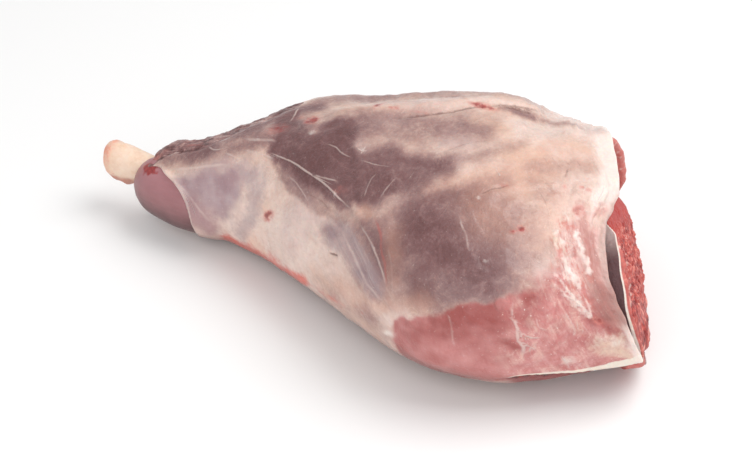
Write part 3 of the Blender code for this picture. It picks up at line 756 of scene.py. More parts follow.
def buildCutMeat():
    c = cutMeat
    edge = legGrid[-1]
    pick = np.arange(c["columns"]) / c["columns"] * len(edge)
    low = np.floor(pick).astype(int)
    rim = edge[low] + (edge[(low + 1) % len(edge)] - edge[low]) * (pick - low)[:, None]
    rimDown = legDown[-1][low]
    heart = rim.mean(0)
    rim = rim + unit(heart - rim) * keyed(rimDown, c["inset"])[:, None] * mm
    share = (np.linspace(0, 1, c["rings"]) ** 1.15)[:, None, None]
    flat = rim + (heart - rim) * share
    depth = castFace(flat[::3])
    depth = np.where(np.isnan(depth), -0.003, depth)
    rows = np.arange(c["rings"])
    depth = np.stack([np.interp(rows, rows[::3], depth[:, j]) for j in range(c["columns"])], 1)
    depth = smoothed(smoothed(depth, 5, 0), 5, 1, wraps=True)
    inwards = share[..., 0] * np.ones((1, c["columns"]))
    atEdge = 1 - ramp(inwards, 0.0, c["edgeReach"])
    depth = depth + (keyed(rimDown, c["edgeOut"])[None] * mm - depth) * atEdge
    fromEdge = np.clip(inwards * np.linalg.norm(heart - rim, axis=-1)[None] / mm / c["edgeRound"], 0, 1)
    depth = depth - c["edgeRound"] * mm * (1 - np.sqrt(1 - (1 - fromEdge) ** 2))
    width = unit(np.cross([0.0, 0.0, 1.0], cutNormal))
    height = np.cross(cutNormal, width)
    across, up = (flat - heart) @ width / mm, (flat - heart) @ height / mm
    rise = up + 0.6 * across
    depth = depth - keyed(rise, c["slope"]) * mm
    calm = ramp(rise + 5 * noiseAt(np.stack([across, up, 0 * up], -1), 11, 58), 2, 20)
    face = np.stack([across, up, np.zeros_like(up)], -1)
    seam = np.zeros_like(up)
    for points, halfWidth in c["seams"]:
        curve = curveThrough(points, 2.0)
        wavy = face[..., :2] + 1.6 * np.stack([noiseAt(face, 9, 51), noiseAt(face, 9, 52)], -1)
        gap = curvedGap(wavy.reshape(-1, 2), curve)[0].reshape(up.shape)
        seam = np.maximum(seam, np.exp(-(gap / halfWidth) ** 2))
    grain = noiseAt(face, 3.2, 53)
    strands = 1 - 2 * np.abs(noiseAt(face, 5.5, 54))
    upright = noiseAt(face * (1.0, 0.32, 1.0), 3.4, 57)
    low = 1 - ramp(rise, -52, -30)
    relief = (0.9 * grain + 1.0 * strands + 0.45 * noiseAt(face, 1.5, 55)) * (1 - low) + 1.0 * upright * low
    relief = relief * (1 - 0.78 * calm) + 1.0 * noiseAt(face, 14, 56)
    seam *= 1 - calm
    fatEdge = (1 - ramp(inwards, 0.001, 0.004)) * keyed(rimDown, c["membrane"])[None]
    relief = relief * (1 - fatEdge) * (1 - 0.5 * seam) - 0.9 * seam
    front = flat + cutNormal * (depth + relief * mm * ramp(inwards, 0.0, 0.04))[..., None]
    wallShares = (1.0, 0.75, 0.55, 0.42, 0.34, 0.26, 0.18, 0.13, 0.09, 0.06, 0.03)
    wall = [front[0] - cutNormal * c["tuck"] * mm * s for s in wallShares]
    back = [wall[0] + (heart - cutNormal * c["tuck"] * mm - wall[0]) * s for s in (1.0, 0.75, 0.5, 0.25)]
    rows = np.concatenate([back, wall, front, [front[-1].mean(0)[None].repeat(c["columns"], 0)]])
    rows[..., 2] = np.maximum(rows[..., 2], 0.0003)
    rows[0] = rows[0].mean(0)
    piece, ring, segment = blank("cutMeat", c["columns"], len(rows) - 1)
    shapeTo(piece, rows[ring, segment])
    before, after = len(back) + len(wall), 1
    for name, values in (("seam", seam), ("fatEdge", fatEdge), ("grain", grain),
                         ("rimPink", 1 - ramp(inwards, 0.02, 0.14 + 0.16 * ramp(across, 10, 40))), ("calm", calm)):
        whole = np.vstack([np.repeat(values[:1], before, 0), values, np.repeat(values[-1:], after, 0)])
        if name == "fatEdge":
            thick = keyed(rimDown, c["membraneDepth"])
            for row in range(before):
                sunk = c["tuck"] * wallShares[row - len(back)] if row >= len(back) else 99.0
                whole[row] = fatEdge[0] * (1 - ramp(sunk, thick - 0.35, thick + 0.35))
        storeMask(piece, name, whole[ring, segment])
    # painted shade: the meat's wall rows inside the pocket are painted dark from 68 mm round the rim, and pale above 44
    # mm
    hollow = np.zeros((len(rows), c["columns"]))
    hollow[:before] = 1 - ramp(rimDown, 124, 130) * (1 - ramp(rimDown, 186, 196))
    storeMask(piece, "wall", hollow[ring, segment])
    dusk = np.repeat(ramp(rimDown, 44, 68)[None], len(rows), 0)
    storeMask(piece, "dusk", dusk[ring, segment])
    say(f"cut face shaped, {rimDown.min():.0f} to {rimDown.max():.0f} mm round")
    return piece


cutPiece = buildCutMeat()

shankBone = {
    "axis": (0.0001, 0.0325),
    "tip": -0.1770,
    "length": 0.084,
    "lean": 0.16,
    "blunt": 0.012,   # the end keeps its full girth this near to the tip
    "rings": 150,
    "columns": 90,
    "knobs": ((0.001, 120, 55, 1.3), (0.002, 215, 40, 1.0), (0.011, 268, 36, 1.3), (0.006, 30, 30, 0.5)),  # from tip, turn, half, mm
}


def buildShankBone():
    c = shankBone
    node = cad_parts["shank_bone"]
    tree = BVHTree.FromPolygons([v.co.copy() for v in node.data.vertices],
                                [tuple(p.vertices) for p in node.data.polygons])
    cy, cz = c["axis"]
    share = np.linspace(0, 1, c["rings"])
    places = c["tip"] + 0.0002 + (c["length"]) * share ** 1.5
    turns = 2 * math.pi * np.arange(c["columns"]) / c["columns"]
    radii = np.zeros((c["rings"], c["columns"]))
    for i, x in enumerate(places):
        for j, turn in enumerate(turns):
            out = Vector((0, math.cos(turn), math.sin(turn)))
            origin = Vector((x, cy, cz)) + out * 0.05
            hit = tree.ray_cast(origin, -out, 0.05)[0]
            radii[i, j] = 0.006 if hit is None else math.hypot(hit.y - cy, hit.z - cz)
    radii = smoothed(smoothed(radii, 4, 0), 5, 1, wraps=True)
    fromTip = (places - c["tip"])[:, None]
    full = radii[int(np.argmax(fromTip > c["blunt"]))][None]
    radii = np.maximum(radii, full * (0.84 + 0.13 * ramp(fromTip, 0.0, 0.004)) * (fromTip < c["blunt"]))
    degrees = np.degrees(turns)[None]
    for at, towards, half, rise in c["knobs"]:
        off = (degrees - towards + 180) % 360 - 180
        radii += rise * mm * np.exp(-(off / half) ** 2 - ((fromTip - at) / 0.006) ** 2)
    y = cy + radii * np.cos(turns)
    z = cz + radii * np.sin(turns)
    lean = c["lean"] * (z - cz) * (1 - ramp(fromTip, 0.0, 0.022))   # the joint's end stands upright
    points = np.stack([places[:, None] - lean, y, z], -1)
    out = unit(points - [0, cy, cz] * np.array([1.0, 1, 1]) - points * [1.0, 0, 0])
    rough = 0.35 * layered(points, 0.007, 2, 61) + 0.10 * noiseAt(points, 0.0016, 62)
    points = points + out * rough[..., None] * mm
    caps = []
    first = points[0]
    for s in (0.0, 0.3, 0.55, 0.78, 0.92):   # the rounded joint end, with its shallow hollow
        ring = first.mean(0) + (first - first.mean(0)) * s
        hollow = 0.8 * mm * math.cos(s * math.pi / 2) - 0.5 * mm * (1 - s * s)
        ring = ring + np.array([1, 0, 0]) * hollow
        ring[:, 0] += 0.35 * mm * noiseAt(ring, 0.005, 63) * (1 if s else 0)
        caps.append(ring)
    rows = np.concatenate([caps, points, [points[-1].mean(0)[None].repeat(c["columns"], 0)]])
    rows[0] = rows[0].mean(0)
    piece, ring, segment = blank("boneEnd", c["columns"], len(rows) - 1)
    shapeTo(piece, rows[ring, segment])
    tipWard = 1 - ramp(rows[..., 0], c["tip"] + 0.002, c["tip"] + 0.013)
    storeMask(piece, "tipWard", tipWard[ring, segment])
    # Darker towards the bone's underside: partly a brown-red stain, partly painted shade.
    lowWard = 1 - ramp(rows[..., 2], 0.0225, 0.0335)
    storeMask(piece, "lowWard", lowWard[ring, segment])
    return piece


bonePiece = buildShankBone()
say("bone shaped")

farLobe = {   # the small end of the next muscle, showing over the rim at the top
    "path": ((-64, -4.4), (-78, 0.6), (-94, 2.3), (-110, 1.8), (-123, -3.4)),   # down the rim, out over the cut, mm
    "inset": 5.0,
    "halfWidth": 3.3,
    "depth": 4.0,        # how many times deeper it runs in than it stands out
    "rings": 60,
    "columns": 36,
}


def buildFarLobe():
    c = farLobe
    keys = np.array(c["path"], float)
    share = np.linspace(0, 1, c["rings"])
    down = keys[0, 0] + (keys[-1, 0] - keys[0, 0]) * share
    out = keyed(-down, tuple(map(tuple, keys * (-1, 1))))
    order = np.argsort(legDown[-1])
    rim = np.stack([np.interp(down, legDown[-1][order], legGrid[-1][order, k]) for k in range(3)], 1)
    inwards = unit(legGrid[-1].mean(0) - rim)
    middle = rim + inwards * c["inset"] * mm + cutNormal * out[:, None] * mm
    girth = np.sin(np.pi * np.clip(share, 0, 1)) ** 0.45 * c["halfWidth"]
    turns = 2 * math.pi * np.arange(c["columns"]) / c["columns"]
    rise = np.where(np.sin(turns) < 0, c["depth"], 1.0) * np.sin(turns)
    points = middle[:, None] + girth[:, None, None] * mm * (
        np.cos(turns)[None, :, None] * inwards[:, None] + rise[None, :, None] * cutNormal)
    points += unit(points - middle[:, None]) * (0.5 * noiseAt(points, 0.006, 71)
                                                + 0.3 * noiseAt(points, 0.0025, 72))[..., None] * mm * (
        girth[:, None, None] / c["halfWidth"])
    points[0], points[-1] = middle[0], middle[-1]
    piece, ring, segment = blank("farLobe", c["columns"], c["rings"] - 1)
    shapeTo(piece, points[ring, segment])
    for name in ("fatEdge", "wall", "dusk", "calm"):
        storeMask(piece, name, np.zeros(len(ring)))
    storeMask(piece, "seam", 0.75 * ramp(noiseAt(points, 0.0030, 74), 0.0, 0.6)[ring, segment])
    storeMask(piece, "grain", noiseAt(points, 0.0026, 53)[ring, segment])
    storeMask(piece, "rimPink", np.full(len(ring), 2.3))
    return piece


lobePiece = buildFarLobe()
say("rim lobe shaped")


def shade(red, green, blue):  # a colour as seen, 0 to 255, for the shader
    def linear(v):
        v = v / 255
        return v / 12.92 if v <= 0.04045 else ((v + 0.055) / 1.055) ** 2.4
    return (linear(red), linear(green), linear(blue), 1.0)


class Wire:  # one shader socket that sums are written with
    def __init__(self, finish, socket):
        self.finish = finish
        self.socket = socket

    def maths(self, operation, first, second):
        return self.finish.node("ShaderNodeMath", {"operation": operation}, {0: first, 1: second})

    def __add__(self, other):
        return self.maths("ADD", self, other)

    __radd__ = __add__

    def __sub__(self, other):
        return self.maths("SUBTRACT", self, other)

    def __rsub__(self, other):
        return self.maths("SUBTRACT", other, self)

    def __mul__(self, other):
        return self.maths("MULTIPLY", self, other)

    __rmul__ = __mul__

    def __truediv__(self, other):
        return self.maths("DIVIDE", self, other)

    def __rtruediv__(self, other):
        return self.maths("DIVIDE", other, self)

    def __neg__(self):
        return self.maths("MULTIPLY", self, -1.0)

    def __abs__(self):
        return self.maths("ABSOLUTE", self, 0.0)


class Finish:  # a material, and the few calls that fill it
    def __init__(self, name):
        self.material = bpy.data.materials.new(name)
        self.material.use_nodes = True
        self.tree = self.material.node_tree
        self.tree.nodes.clear()

    def node(self, kind, settings=None, sockets=None, output=0):
        made = self.tree.nodes.new(kind)
        for key, value in (settings or {}).items():
            if key == "stops":
                elements = made.color_ramp.elements
                while len(elements) < len(value):
                    elements.new(0.5)
                for element, (place, colour) in zip(elements, value):
                    element.position = place
                    element.color = colour
            else:
                setattr(made, key, value)
        for key, value in (sockets or {}).items():
            if isinstance(value, Wire):
                self.tree.links.new(value.socket, made.inputs[key])
            else:
                made.inputs[key].default_value = value
        return Wire(self, made.outputs[output]) if len(made.outputs) else None

    def mask(self, name):
        return self.node("ShaderNodeAttribute", {"attribute_name": name}, output="Fac")

    def place(self):
        return self.node("ShaderNodeTexCoord", output="Object")

    def strands(self, length, width, degrees):  # noise drawn out along the leg's own map, in mm
        uv = self.node("ShaderNodeUVMap", {"uv_map": "legMap"})
        turned = self.node("ShaderNodeMapping", {"vector_type": "TEXTURE"},
                           {"Vector": uv, "Rotation": (0.0, 0.0, math.radians(degrees)),
                            "Scale": (length / 100, width / 100, 1.0)})
        return self.noise(turned, 1.0, 4.0, 0.62, 0.4) - 0.5

    def along(self):
        uv = self.node("ShaderNodeUVMap", {"uv_map": "legMap"})
        return self.node("ShaderNodeSeparateXYZ", None, {0: uv}) * 100.0

    def noise(self, at, scale, detail=3.0, roughness=0.55, distortion=0.0):
        return self.node("ShaderNodeTexNoise", None, {"Vector": at, "Scale": scale, "Detail": detail,
                                                      "Roughness": roughness, "Distortion": distortion})

    def cells(self, at, scale, feature="F1"):
        return self.node("ShaderNodeTexVoronoi", {"feature": feature}, {"Vector": at, "Scale": scale})

    def ease(self, value, low, high, start=0.0, end=1.0):  # start at low, end at high, soft between
        return self.node("ShaderNodeMapRange", {"interpolation_type": "SMOOTHSTEP"},
                         {0: value, 1: low, 2: high, 3: start, 4: end})

    def mix(self, amount, first, second, blend="MIX"):
        return self.node("ShaderNodeMix", {"data_type": "RGBA", "blend_type": blend},
                         {0: amount, 6: first, 7: second}, output=2)

    def stops(self, amount, stops):
        return self.node("ShaderNodeValToRGB", {"stops": stops}, {0: amount})

    def bump(self, height, distance, strength=1.0):
        return self.node("ShaderNodeBump", None, {"Strength": strength, "Distance": distance, "Height": height})

    def close(self, **sockets):
        named = {key.replace("_", " "): value for key, value in sockets.items()}
        shader = self.node("ShaderNodeBsdfPrincipled", None, named)
        self.node("ShaderNodeOutputMaterial", None, {0: shader})
        return self.material


coverColours = {
    "fatThinning": ((0.0, shade(232, 207, 196)), (0.18, shade(214, 184, 172)), (0.34, shade(190, 157, 147)),
                    (0.50, shade(165, 130, 124)), (0.66, shade(140, 106, 104)), (0.82, shade(122, 85, 85)),
                    (1.0, shade(104, 66, 66))),
    "warm": shade(216, 164, 142),
    "silver": ((0.2, shade(146, 112, 120)), (0.5, shade(161, 129, 136)), (0.8, shade(184, 159, 163))),
    "cool": shade(166, 144, 149),
    "bare": ((0.25, shade(186, 113, 110)), (0.5, shade(203, 134, 131)), (0.75, shade(215, 152, 148))),
    "fleshPale": shade(234, 198, 186),
    "fleshRed": shade(190, 104, 100),
    # painted highlight colour
    "glint": shade(250, 238, 230),
    "lump": shade(246, 230, 222),
    "deep": shade(160, 80, 76),
    "torn": ((0.30, shade(92, 58, 58)), (0.50, shade(134, 94, 92)), (0.66, shade(164, 126, 122)),
             (0.80, shade(196, 164, 156))),
    "halo": shade(206, 124, 114),
    "clump": shade(242, 222, 212),
    "blood": ((0.3, shade(112, 34, 38)), (0.7, shade(164, 66, 62))),
    "edgeRed": shade(222, 96, 80),
    # painted shade colour for faces turned towards the floor
    "turned": shade(124, 72, 68),
    "rimPale": shade(246, 230, 222),
    "rimRed": shade(184, 124, 116),
    "cream": shade(232, 208, 186),
    "flapBand": shade(238, 226, 212),
    # meat under the flap: its own red, partly painted shade
    "flapMeatAndShade": ((0.1, shade(66, 24, 28)), (0.4, shade(142, 62, 58))),
    "white": shade(240, 228, 220),
    "paleLine": shade(226, 204, 196),
    "darkAndShadeLine": shade(112, 74, 66),
    "redLine": shade(182, 92, 84),
    "lip": shade(244, 228, 220),
    "lipLow": ((0.3, shade(184, 150, 144)), (0.7, shade(208, 174, 166))),
    # painted shade colour for the rim's inner fold
    "rimDusk": shade(158, 104, 98),
    "peach": shade(228, 184, 158),
    "greyed": shade(196, 172, 172),
    "wedge": shade(164, 124, 128),
    # painted shade colour inside the pocket behind the lip
    "pocket": shade(114, 82, 84),
    # painted shade colour near the floor
    "under": shade(196, 150, 142),
    "wet": {"roughness": 0.44, "coat": 0.40, "subsurface": 0.2},
}


def finishCover():
    c = coverColours
    f = Finish("rawFatAndMuscle")
    at = f.place()
    broad = f.noise(at, 24.0, 3.0) - 0.5
    middling = f.noise(at, 95.0, 4.0, 0.6) - 0.5
    fine = f.noise(at, 380.0, 4.0, 0.65) - 0.5
    grain = f.noise(at, 1300.0, 2.0, 0.6) - 0.5
    fibres = f.strands(16.0, 1.6, 8.0)
    upright = f.strands(7.0, 1.1, 84.0)
    falling = f.strands(16.0, 1.3, 33.0)
    rising = f.strands(14.0, 1.5, 98.0)
    streaks = f.strands(13.0, 2.6, 72.0)
    web = f.ease(abs(f.noise(at, 62.0, 5.0, 0.6, 1.6) - 0.5), 0.030, 0.0)
    web = web * f.ease(f.noise(at, 40.0, 2.0), 0.45, 0.62)
    kneeSide = 1.0 - f.ease(f.along(), 138.0, 152.0)
    # muscle showing through thin fat, plus painted shade just below the crown ridge
    thin = f.mask("thin")
    strands = f.ease(falling, 0.10, 0.30) * kneeSide + f.ease(rising, 0.10, 0.30) * (1.0 - kneeSide)
    haze = f.ease(f.noise(at, 70.0, 6.0, 0.7, 1.2), 0.46, 0.74)
    shown = thin * (1.0 - 0.24 * haze - 0.30 * strands) + 0.05 + 0.24 * broad + 0.40 * middling - 0.10 * web
    shown = shown + (0.10 + 0.26 * thin) * fine + (0.05 + 0.1 * thin) * grain
    colour = f.stops(shown, c["fatThinning"])
    drift = f.noise(f.node("ShaderNodeVectorMath", {"operation": "ADD"}, {0: at, 1: (0.31, 0.12, 0.0)}), 26.0, 3.0)
    fatty = 1.0 - f.ease(thin, 0.1, 0.7)
    colour = f.mix(f.ease(drift, 0.50, 0.70) * fatty * 0.5, colour, c["peach"])
    colour = f.mix(f.ease(drift, 0.48, 0.32) * fatty * 0.35, colour, c["greyed"])
    warm = f.ease(f.mask("warm") + 0.4 * middling, 0.0, 1.0)
    colour = f.mix(warm * 0.40, colour, c["warm"])
    colour = f.mix(f.ease(f.mask("cool") + 0.5 * middling + 0.3 * fine, 0.15, 0.85) * 0.6, colour, c["cool"])
    silver = f.ease(f.mask("silver") + 0.3 * middling + 0.1 * fine, 0.0, 1.0)
    sheen = 0.5 + 0.8 * middling + 1.8 * broad + 0.15 * fibres
    colour = f.mix(silver * 0.9, colour, f.stops(sheen, c["silver"]))
    colour = f.mix(f.ease(f.mask("wedge") + 0.3 * fine, 0.1, 0.9) * 0.8, colour, c["wedge"])
    bare = f.ease(f.mask("bare") + 0.22 * fine + 0.12 * middling, 0.15, 0.85)
    flesh = f.stops(0.5 + 0.9 * middling + 0.4 * upright + 0.3 * fine, c["bare"])
    coarse = f.ease(f.mask("coarse"), 0.1, 0.9)
    lumps = 0.5 + 0.32 * streaks + 0.7 * (f.noise(at, 105.0, 6.0, 0.68, 0.7) - 0.5)
    flesh = f.mix(f.ease(lumps, 0.45, 0.66) * coarse * 0.7, flesh, c["fleshPale"])
    flesh = f.mix(f.ease(lumps, 0.48, 0.32) * coarse * 0.55, flesh, c["fleshRed"])
    # deeper red muscle, partly painted contact shade along the lower edge
    flesh = f.mix(f.ease(f.mask("deep") + 0.4 * fine + 0.2 * upright, 0.0, 1.0), flesh, c["deep"])
    colour = f.mix(bare, colour, flesh)
    # rim streaks: their own red colour plus painted shade towards the pocket
    rimRed = f.ease(f.mask("rimRed") + 1.3 * streaks + 0.4 * fine, 0.25, 0.85)
    colour = f.mix(rimRed * 0.85, colour, c["rimRed"])
    colour = f.mix(f.ease(f.mask("cream") + 0.8 * middling + 0.4 * fine, 0.2, 0.9) * 0.8, colour, c["cream"])
    torn = f.ease(f.mask("torn") + 0.3 * fine, 0.3, 0.7)
    colour = f.mix(torn, colour, f.stops(0.52 + 1.1 * middling + 0.9 * fibres + 0.5 * fine, c["torn"]))
    # painted shade towards the floor
    colour = f.mix(f.mask("under") * 0.35, colour, c["under"])
    colour = f.mix(f.ease(f.mask("rimPale") + 0.8 * streaks + 0.3 * middling, 0.1, 0.9) * 0.8, colour, c["rimPale"])
    colour = f.mix(f.ease(f.mask("edgeRed") + 0.9 * middling + 0.4 * fine, 0.15, 0.9) * 0.85, colour, c["edgeRed"])

    def line(name, wide):
        along = 1.0 - f.ease(abs(f.mask(name + "Side") + 1.4 * fine), 0.0, wide)
        return f.ease(along * f.mask(name + "Hold") * (1.0 + 2.6 * middling), 0.05, 0.9)

    # dark lines, partly painted shade in creases and under the crown ridge
    colour = f.mix(line("dark", 1.5) * 0.7, colour, c["darkAndShadeLine"])
    colour = f.mix(line("red", 1.7) * 0.5, colour, c["redLine"])
    paleLine = line("pale", 1.7)
    colour = f.mix(paleLine * 0.62, colour, c["paleLine"])
    colour = f.mix(f.ease(f.mask("white") + 0.7 * fine + 0.4 * upright, 0.05, 1.0) * 0.85, colour, c["white"])
    colour = f.mix(f.ease(f.mask("lumpWhite") + 0.7 * fine + 0.7 * upright, 0.1, 1.0) * 0.78, colour, c["lump"])
    clumped = f.mask("clumps") * (1.0 - f.mask("lumpWhite"))
    patchy = 0.8 * streaks + 0.9 * middling + 0.35 * fine
    colour = f.mix(f.ease(patchy, 0.04, -0.16) * clumped * 0.75, colour, c["halo"])
    colour = f.mix(f.ease(patchy, 0.06, 0.26) * clumped * 0.6, colour, c["clump"])
    blood = f.mask("blood")
    colour = f.mix(f.ease(blood + 0.4 * fine, 0.0, 0.6) * (0.7 - 0.6 * thin), colour, c["halo"])
    colour = f.mix(f.ease(blood + 0.8 * fine, 0.40, 0.95) * 0.85, colour, f.stops(0.5 + 1.5 * fine, c["blood"]))
    # painted highlight: tiny wet glints painted into the colour
    glint = f.ease(f.noise(at, 560.0, 3.0, 0.7), 0.63, 0.72) * (0.25 + 0.75 * coarse)
    colour = f.mix(glint * 0.6, colour, c["glint"])
    # painted shade on faces turned towards the floor
    colour = f.mix(f.mask("turned") * 0.6, colour, c["turned"])
    # Meat under the flap's edge: its own dark red, deepened into painted shade under the flap.
    flap = f.mask("flap") + 0.25 * fine
    hold = f.mask("flapHold")
    under = f.ease(flap, 0.0, 0.5) * hold
    colour = f.mix(under, colour, f.stops(0.05 + 0.06 * flap + 0.25 * f.ease(f.along(), 272.0, 300.0) + 1.0 * middling + 0.5 * fine, c["flapMeatAndShade"]))
    band = f.ease(flap + f.mask("flapThick"), -0.3, 0.4) * (1.0 - f.ease(flap, -0.2, 0.4)) * hold
    colour = f.mix(band, colour, c["flapBand"])
    lipColour = f.mix(f.mask("lowRim"), c["lip"], f.stops(0.5 + 1.2 * fine, c["lipLow"]))
    colour = f.mix(f.mask("lip") * 0.85, colour, lipColour)
    colour = f.mix(f.ease(f.mask("rimDusk") + 0.6 * streaks + 0.3 * fine, 0.1, 0.9) * 0.55, colour, c["rimDusk"])
    # painted shade inside the pocket
    colour = f.mix(f.mask("pocket"), colour, c["pocket"])
    relief = 0.8 * middling + 0.40 * fine + 0.10 * grain + 0.35 * bare * upright + 0.3 * torn * fibres
    relief = relief + 0.10 * web + 0.4 * streaks * clumped
    relief = relief + 0.3 * paleLine + 0.25 * strands * thin + 0.5 * lumps * coarse
    wet = c["wet"]
    return f.close(Base_Color=colour, Roughness=wet["roughness"] + 0.25 * fine + 0.12 * torn,
                   Coat_Weight=wet["coat"] + 0.6 * middling, Coat_Roughness=0.16,
                   Subsurface_Weight=wet["subsurface"], Subsurface_Radius=(1.0, 0.42, 0.28),
                   Subsurface_Scale=0.0030, IOR=1.4, Normal=f.bump(relief, 0.0013, 0.9))


meatColours = {
    "grain": ((0.22, shade(104, 28, 28)), (0.42, shade(162, 58, 54)), (0.58, shade(200, 96, 86)),
              (0.76, shade(236, 164, 150))),
    "rimPink": shade(206, 122, 114),
    # painted highlight colour for the meat
    "paintedHighlight": shade(242, 184, 166),
    "fat": shade(240, 226, 216),
    # painted shade inside the pocket: wall is its dark colour, wallPale its paler upper part
    "wall": shade(92, 58, 60),
    "wallPale": shade(184, 160, 156),
    "calm": shade(182, 62, 58),
}


def finishMeat():
    c = meatColours
    f = Finish("cutRawMeat")
    at = f.place()
    middling = f.noise(at, 165.0, 4.0, 0.6, 0.6) - 0.5
    fine = f.noise(at, 560.0, 4.0, 0.65) - 0.5
    broad = f.noise(at, 45.0, 2.0) - 0.5
    bundles = f.cells(f.node("ShaderNodeVectorMath", {"operation": "ADD"}, {0: at, 1: (0.01, 0.0, 0.02)}), 420.0)
    lively = 1.0 - 0.7 * f.mask("calm")
    mottle = 0.18 * f.mask("grain") + 0.75 * middling + 0.5 * fine
    colour = f.stops(0.47 + mottle * lively + 0.3 * broad, c["grain"])
    colour = f.mix(f.mask("calm") * 0.75, colour, c["calm"])
    colour = f.mix(f.mask("rimPink") * 0.42 * lively, colour, c["rimPink"])
    # painted highlight: orange-pink flecks stand in for glints on the meat
    paintedHighlight = f.ease(middling + 0.8 * fine, 0.16, 0.32)
    colour = f.mix(paintedHighlight * 0.75 * lively, colour, c["paintedHighlight"])
    seam = f.ease(f.mask("seam") + 0.6 * fine, 0.3, 0.8)
    colour = f.mix(seam * 0.45, colour, c["fat"])
    # painted shade on the wall rows inside the pocket
    colour = f.mix(f.mask("wall"), colour, f.mix(f.mask("dusk"), c["wallPale"], c["wall"]))
    colour = f.mix(f.ease(f.mask("fatEdge") + 0.3 * fine, 0.3, 0.8), colour, c["fat"])
    relief = 0.6 * middling + 0.5 * fine + 0.25 * bundles
    gloss = 1.0 - 0.85 * f.mask("calm")
    return f.close(Base_Color=colour, Roughness=0.60 - 0.14 * gloss + 0.3 * fine,
                   Coat_Weight=(0.10 + 0.5 * middling) * gloss,
                   Coat_Roughness=0.16, Subsurface_Weight=0.2, Subsurface_Radius=(1.0, 0.3, 0.2),
                   Subsurface_Scale=0.0025, IOR=1.38, Normal=f.bump(relief, 0.0012, 0.9))


calfColours = {
    # painted shade: the flesh stops run from the dark underside to the lit top
    "flesh": ((0.0, shade(84, 50, 52)), (0.3, shade(124, 82, 84)), (0.55, shade(154, 105, 108)), (1.0, shade(180, 127, 132))),
    "blood": ((0.3, shade(128, 34, 36)), (0.7, shade(172, 62, 58))),
}


def finishCalf():
    c = calfColours
    f = Finish("bareCalfMuscle")
    at = f.place()
    broad = f.noise(at, 55.0, 2.0) - 0.5
    fine = f.noise(at, 520.0, 3.0, 0.6) - 0.5
    stretched = f.node("ShaderNodeMapping", None, {"Vector": at, "Scale": (60.0, 420.0, 420.0)})
    fibres = f.noise(stretched, 1.0, 3.0) - 0.5
    colour = f.stops(0.02 + 0.85 * f.mask("lift") + 0.35 * broad + 0.18 * fibres + 0.12 * fine, c["flesh"])
    blood = f.ease(f.mask("blood") + 0.5 * fine, 0.2, 0.8)
    colour = f.mix(blood * 0.92, colour, f.stops(0.5 + 1.2 * fine, c["blood"]))
    return f.close(Base_Color=colour, Roughness=0.42 + 0.2 * fine, Coat_Weight=0.28 + 0.5 * broad,
                   Coat_Roughness=0.2, Subsurface_Weight=0.2, Subsurface_Radius=(1.0, 0.4, 0.3),
                   Subsurface_Scale=0.003, IOR=1.4, Normal=f.bump(0.35 * fibres + 0.4 * fine, 0.0005, 0.6))


boneColours = {
    "bone": ((0.25, shade(226, 190, 164)), (0.5, shade(238, 210, 188)), (0.8, shade(242, 222, 204))),
    "stain": shade(226, 150, 128),
    # underside colour: partly stain, partly painted shade
    "low": shade(186, 112, 92),
}


def finishBone():
    c = boneColours
    f = Finish("rawBone")
    at = f.place()
    middling = f.noise(at, 150.0, 4.0, 0.6) - 0.5
    fine = f.noise(at, 700.0, 4.0, 0.65) - 0.5
    pores = f.cells(at, 900.0)
    colour = f.stops(0.5 + 0.9 * middling + 0.4 * fine, c["bone"])
    stain = f.ease(f.mask("tipWard") * 0.5 + 1.3 * middling + 0.4 * fine, 0.22, 0.62)
    colour = f.mix(stain * 0.85, colour, c["stain"])
    low = f.ease(f.mask("lowWard") + 1.0 * middling, 0.35, 0.95)
    colour = f.mix(low * 0.85, colour, c["low"])
    return f.close(Base_Color=colour, Roughness=0.5 + 0.3 * fine, Coat_Weight=0.18 + 0.4 * middling,
                   Coat_Roughness=0.25, Subsurface_Weight=0.3, Subsurface_Radius=(1.0, 0.6, 0.4),
                   Subsurface_Scale=0.003, IOR=1.45,
                   Normal=f.bump(0.5 * middling + 0.4 * fine - 0.15 * pores, 0.0007, 0.7))


def dress(piece, material, slot, *nodes):
    piece.data.materials.clear()
    piece.data.materials.append(material)
    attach(piece, "root")
    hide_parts(*nodes)


meatMaterial = finishMeat()
dress(coverPiece, finishCover(), "raw_lamb", "leg_meat")
dress(calfPiece, finishCalf(), "raw_lamb", "leg_meat")
dress(cutPiece, meatMaterial, "raw_lamb", "leg_meat")
dress(lobePiece, meatMaterial, "raw_lamb", "leg_meat")
dress(bonePiece, finishBone(), "bare_bone", "shank_bone")
say("finishes on")

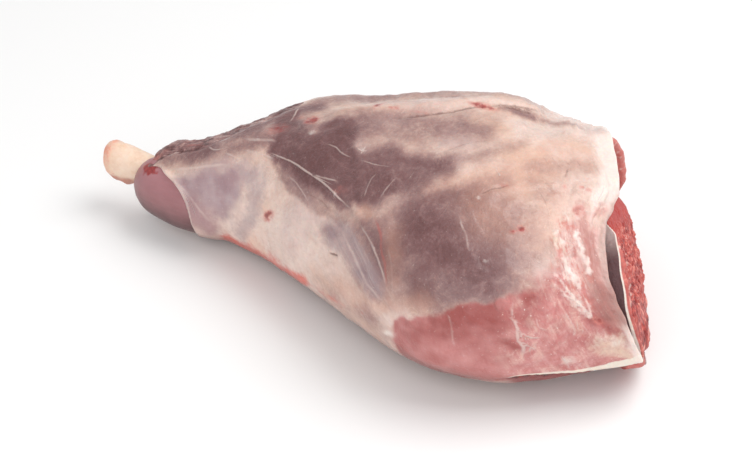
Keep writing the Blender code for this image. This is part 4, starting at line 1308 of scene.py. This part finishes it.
studio = {
    "floorSize": 8.0,
    "floorWhite": 0.93,
    "ambient": 0.60,
    "lights": (  # place, size, power, colour
        ((0.70, 0.40, 1.45), 1.2, 15.5, (1.0, 0.99, 0.98)),
        ((0.25, -1.40, 1.15), 1.6, 10.0, (1.0, 1.0, 1.0)),
        ((1.20, -0.75, 0.55), 1.1, 1.2, (1.0, 1.0, 1.0)),
    ),
    "lookAt": (0.0175, -0.0299, 0.0535),
    "azimuth": 25.0,
    "elevation": 36.0,
    "distance": 1.0,
    "lens": 85.0,
}


def setStage():
    s = studio
    bpy.ops.object.select_all(action="DESELECT")
    bpy.ops.mesh.primitive_plane_add(size=s["floorSize"], location=(0, 0, 0))
    floor = bpy.context.active_object
    floor.name = "paleFloor"
    f = Finish("paleFloor")
    white = s["floorWhite"]
    floor.data.materials.append(f.close(Base_Color=(white, white, white, 1.0), Roughness=0.6))
    world = bpy.data.worlds.new("softRoom")
    bpy.context.scene.world = world
    world.use_nodes = True
    sky = world.node_tree.nodes["Background"]
    sky.inputs["Color"].default_value = (1.0, 1.0, 1.0, 1.0)
    sky.inputs["Strength"].default_value = s["ambient"]
    target = Vector(s["lookAt"])
    for k, (place, size, power, colour) in enumerate(s["lights"]):
        lamp = bpy.data.lights.new(f"softbox{k}", "AREA")
        lamp.shape = "SQUARE"
        lamp.size = size
        lamp.energy = power
        lamp.color = colour
        holder = bpy.data.objects.new(lamp.name, lamp)
        bpy.context.scene.collection.objects.link(holder)
        holder.location = place
        holder.rotation_euler = (target - Vector(place)).to_track_quat("-Z", "Y").to_euler()


def setCamera():
    s = studio
    turn, rise = math.radians(s["azimuth"]), math.radians(s["elevation"])
    back = Vector((math.sin(turn) * math.cos(rise), -math.cos(turn) * math.cos(rise), math.sin(rise)))
    lens = bpy.data.cameras.new("viewer")
    lens.lens = s["lens"]
    holder = bpy.data.objects.new("viewer", lens)
    bpy.context.scene.collection.objects.link(holder)
    holder.location = Vector(s["lookAt"]) + back * s["distance"]
    holder.rotation_euler = (-back).to_track_quat("-Z", "Y").to_euler()
    bpy.context.scene.camera = holder


setStage()
setCamera()
bpy.context.scene.view_settings.view_transform = "Standard"
say("lit and framed")
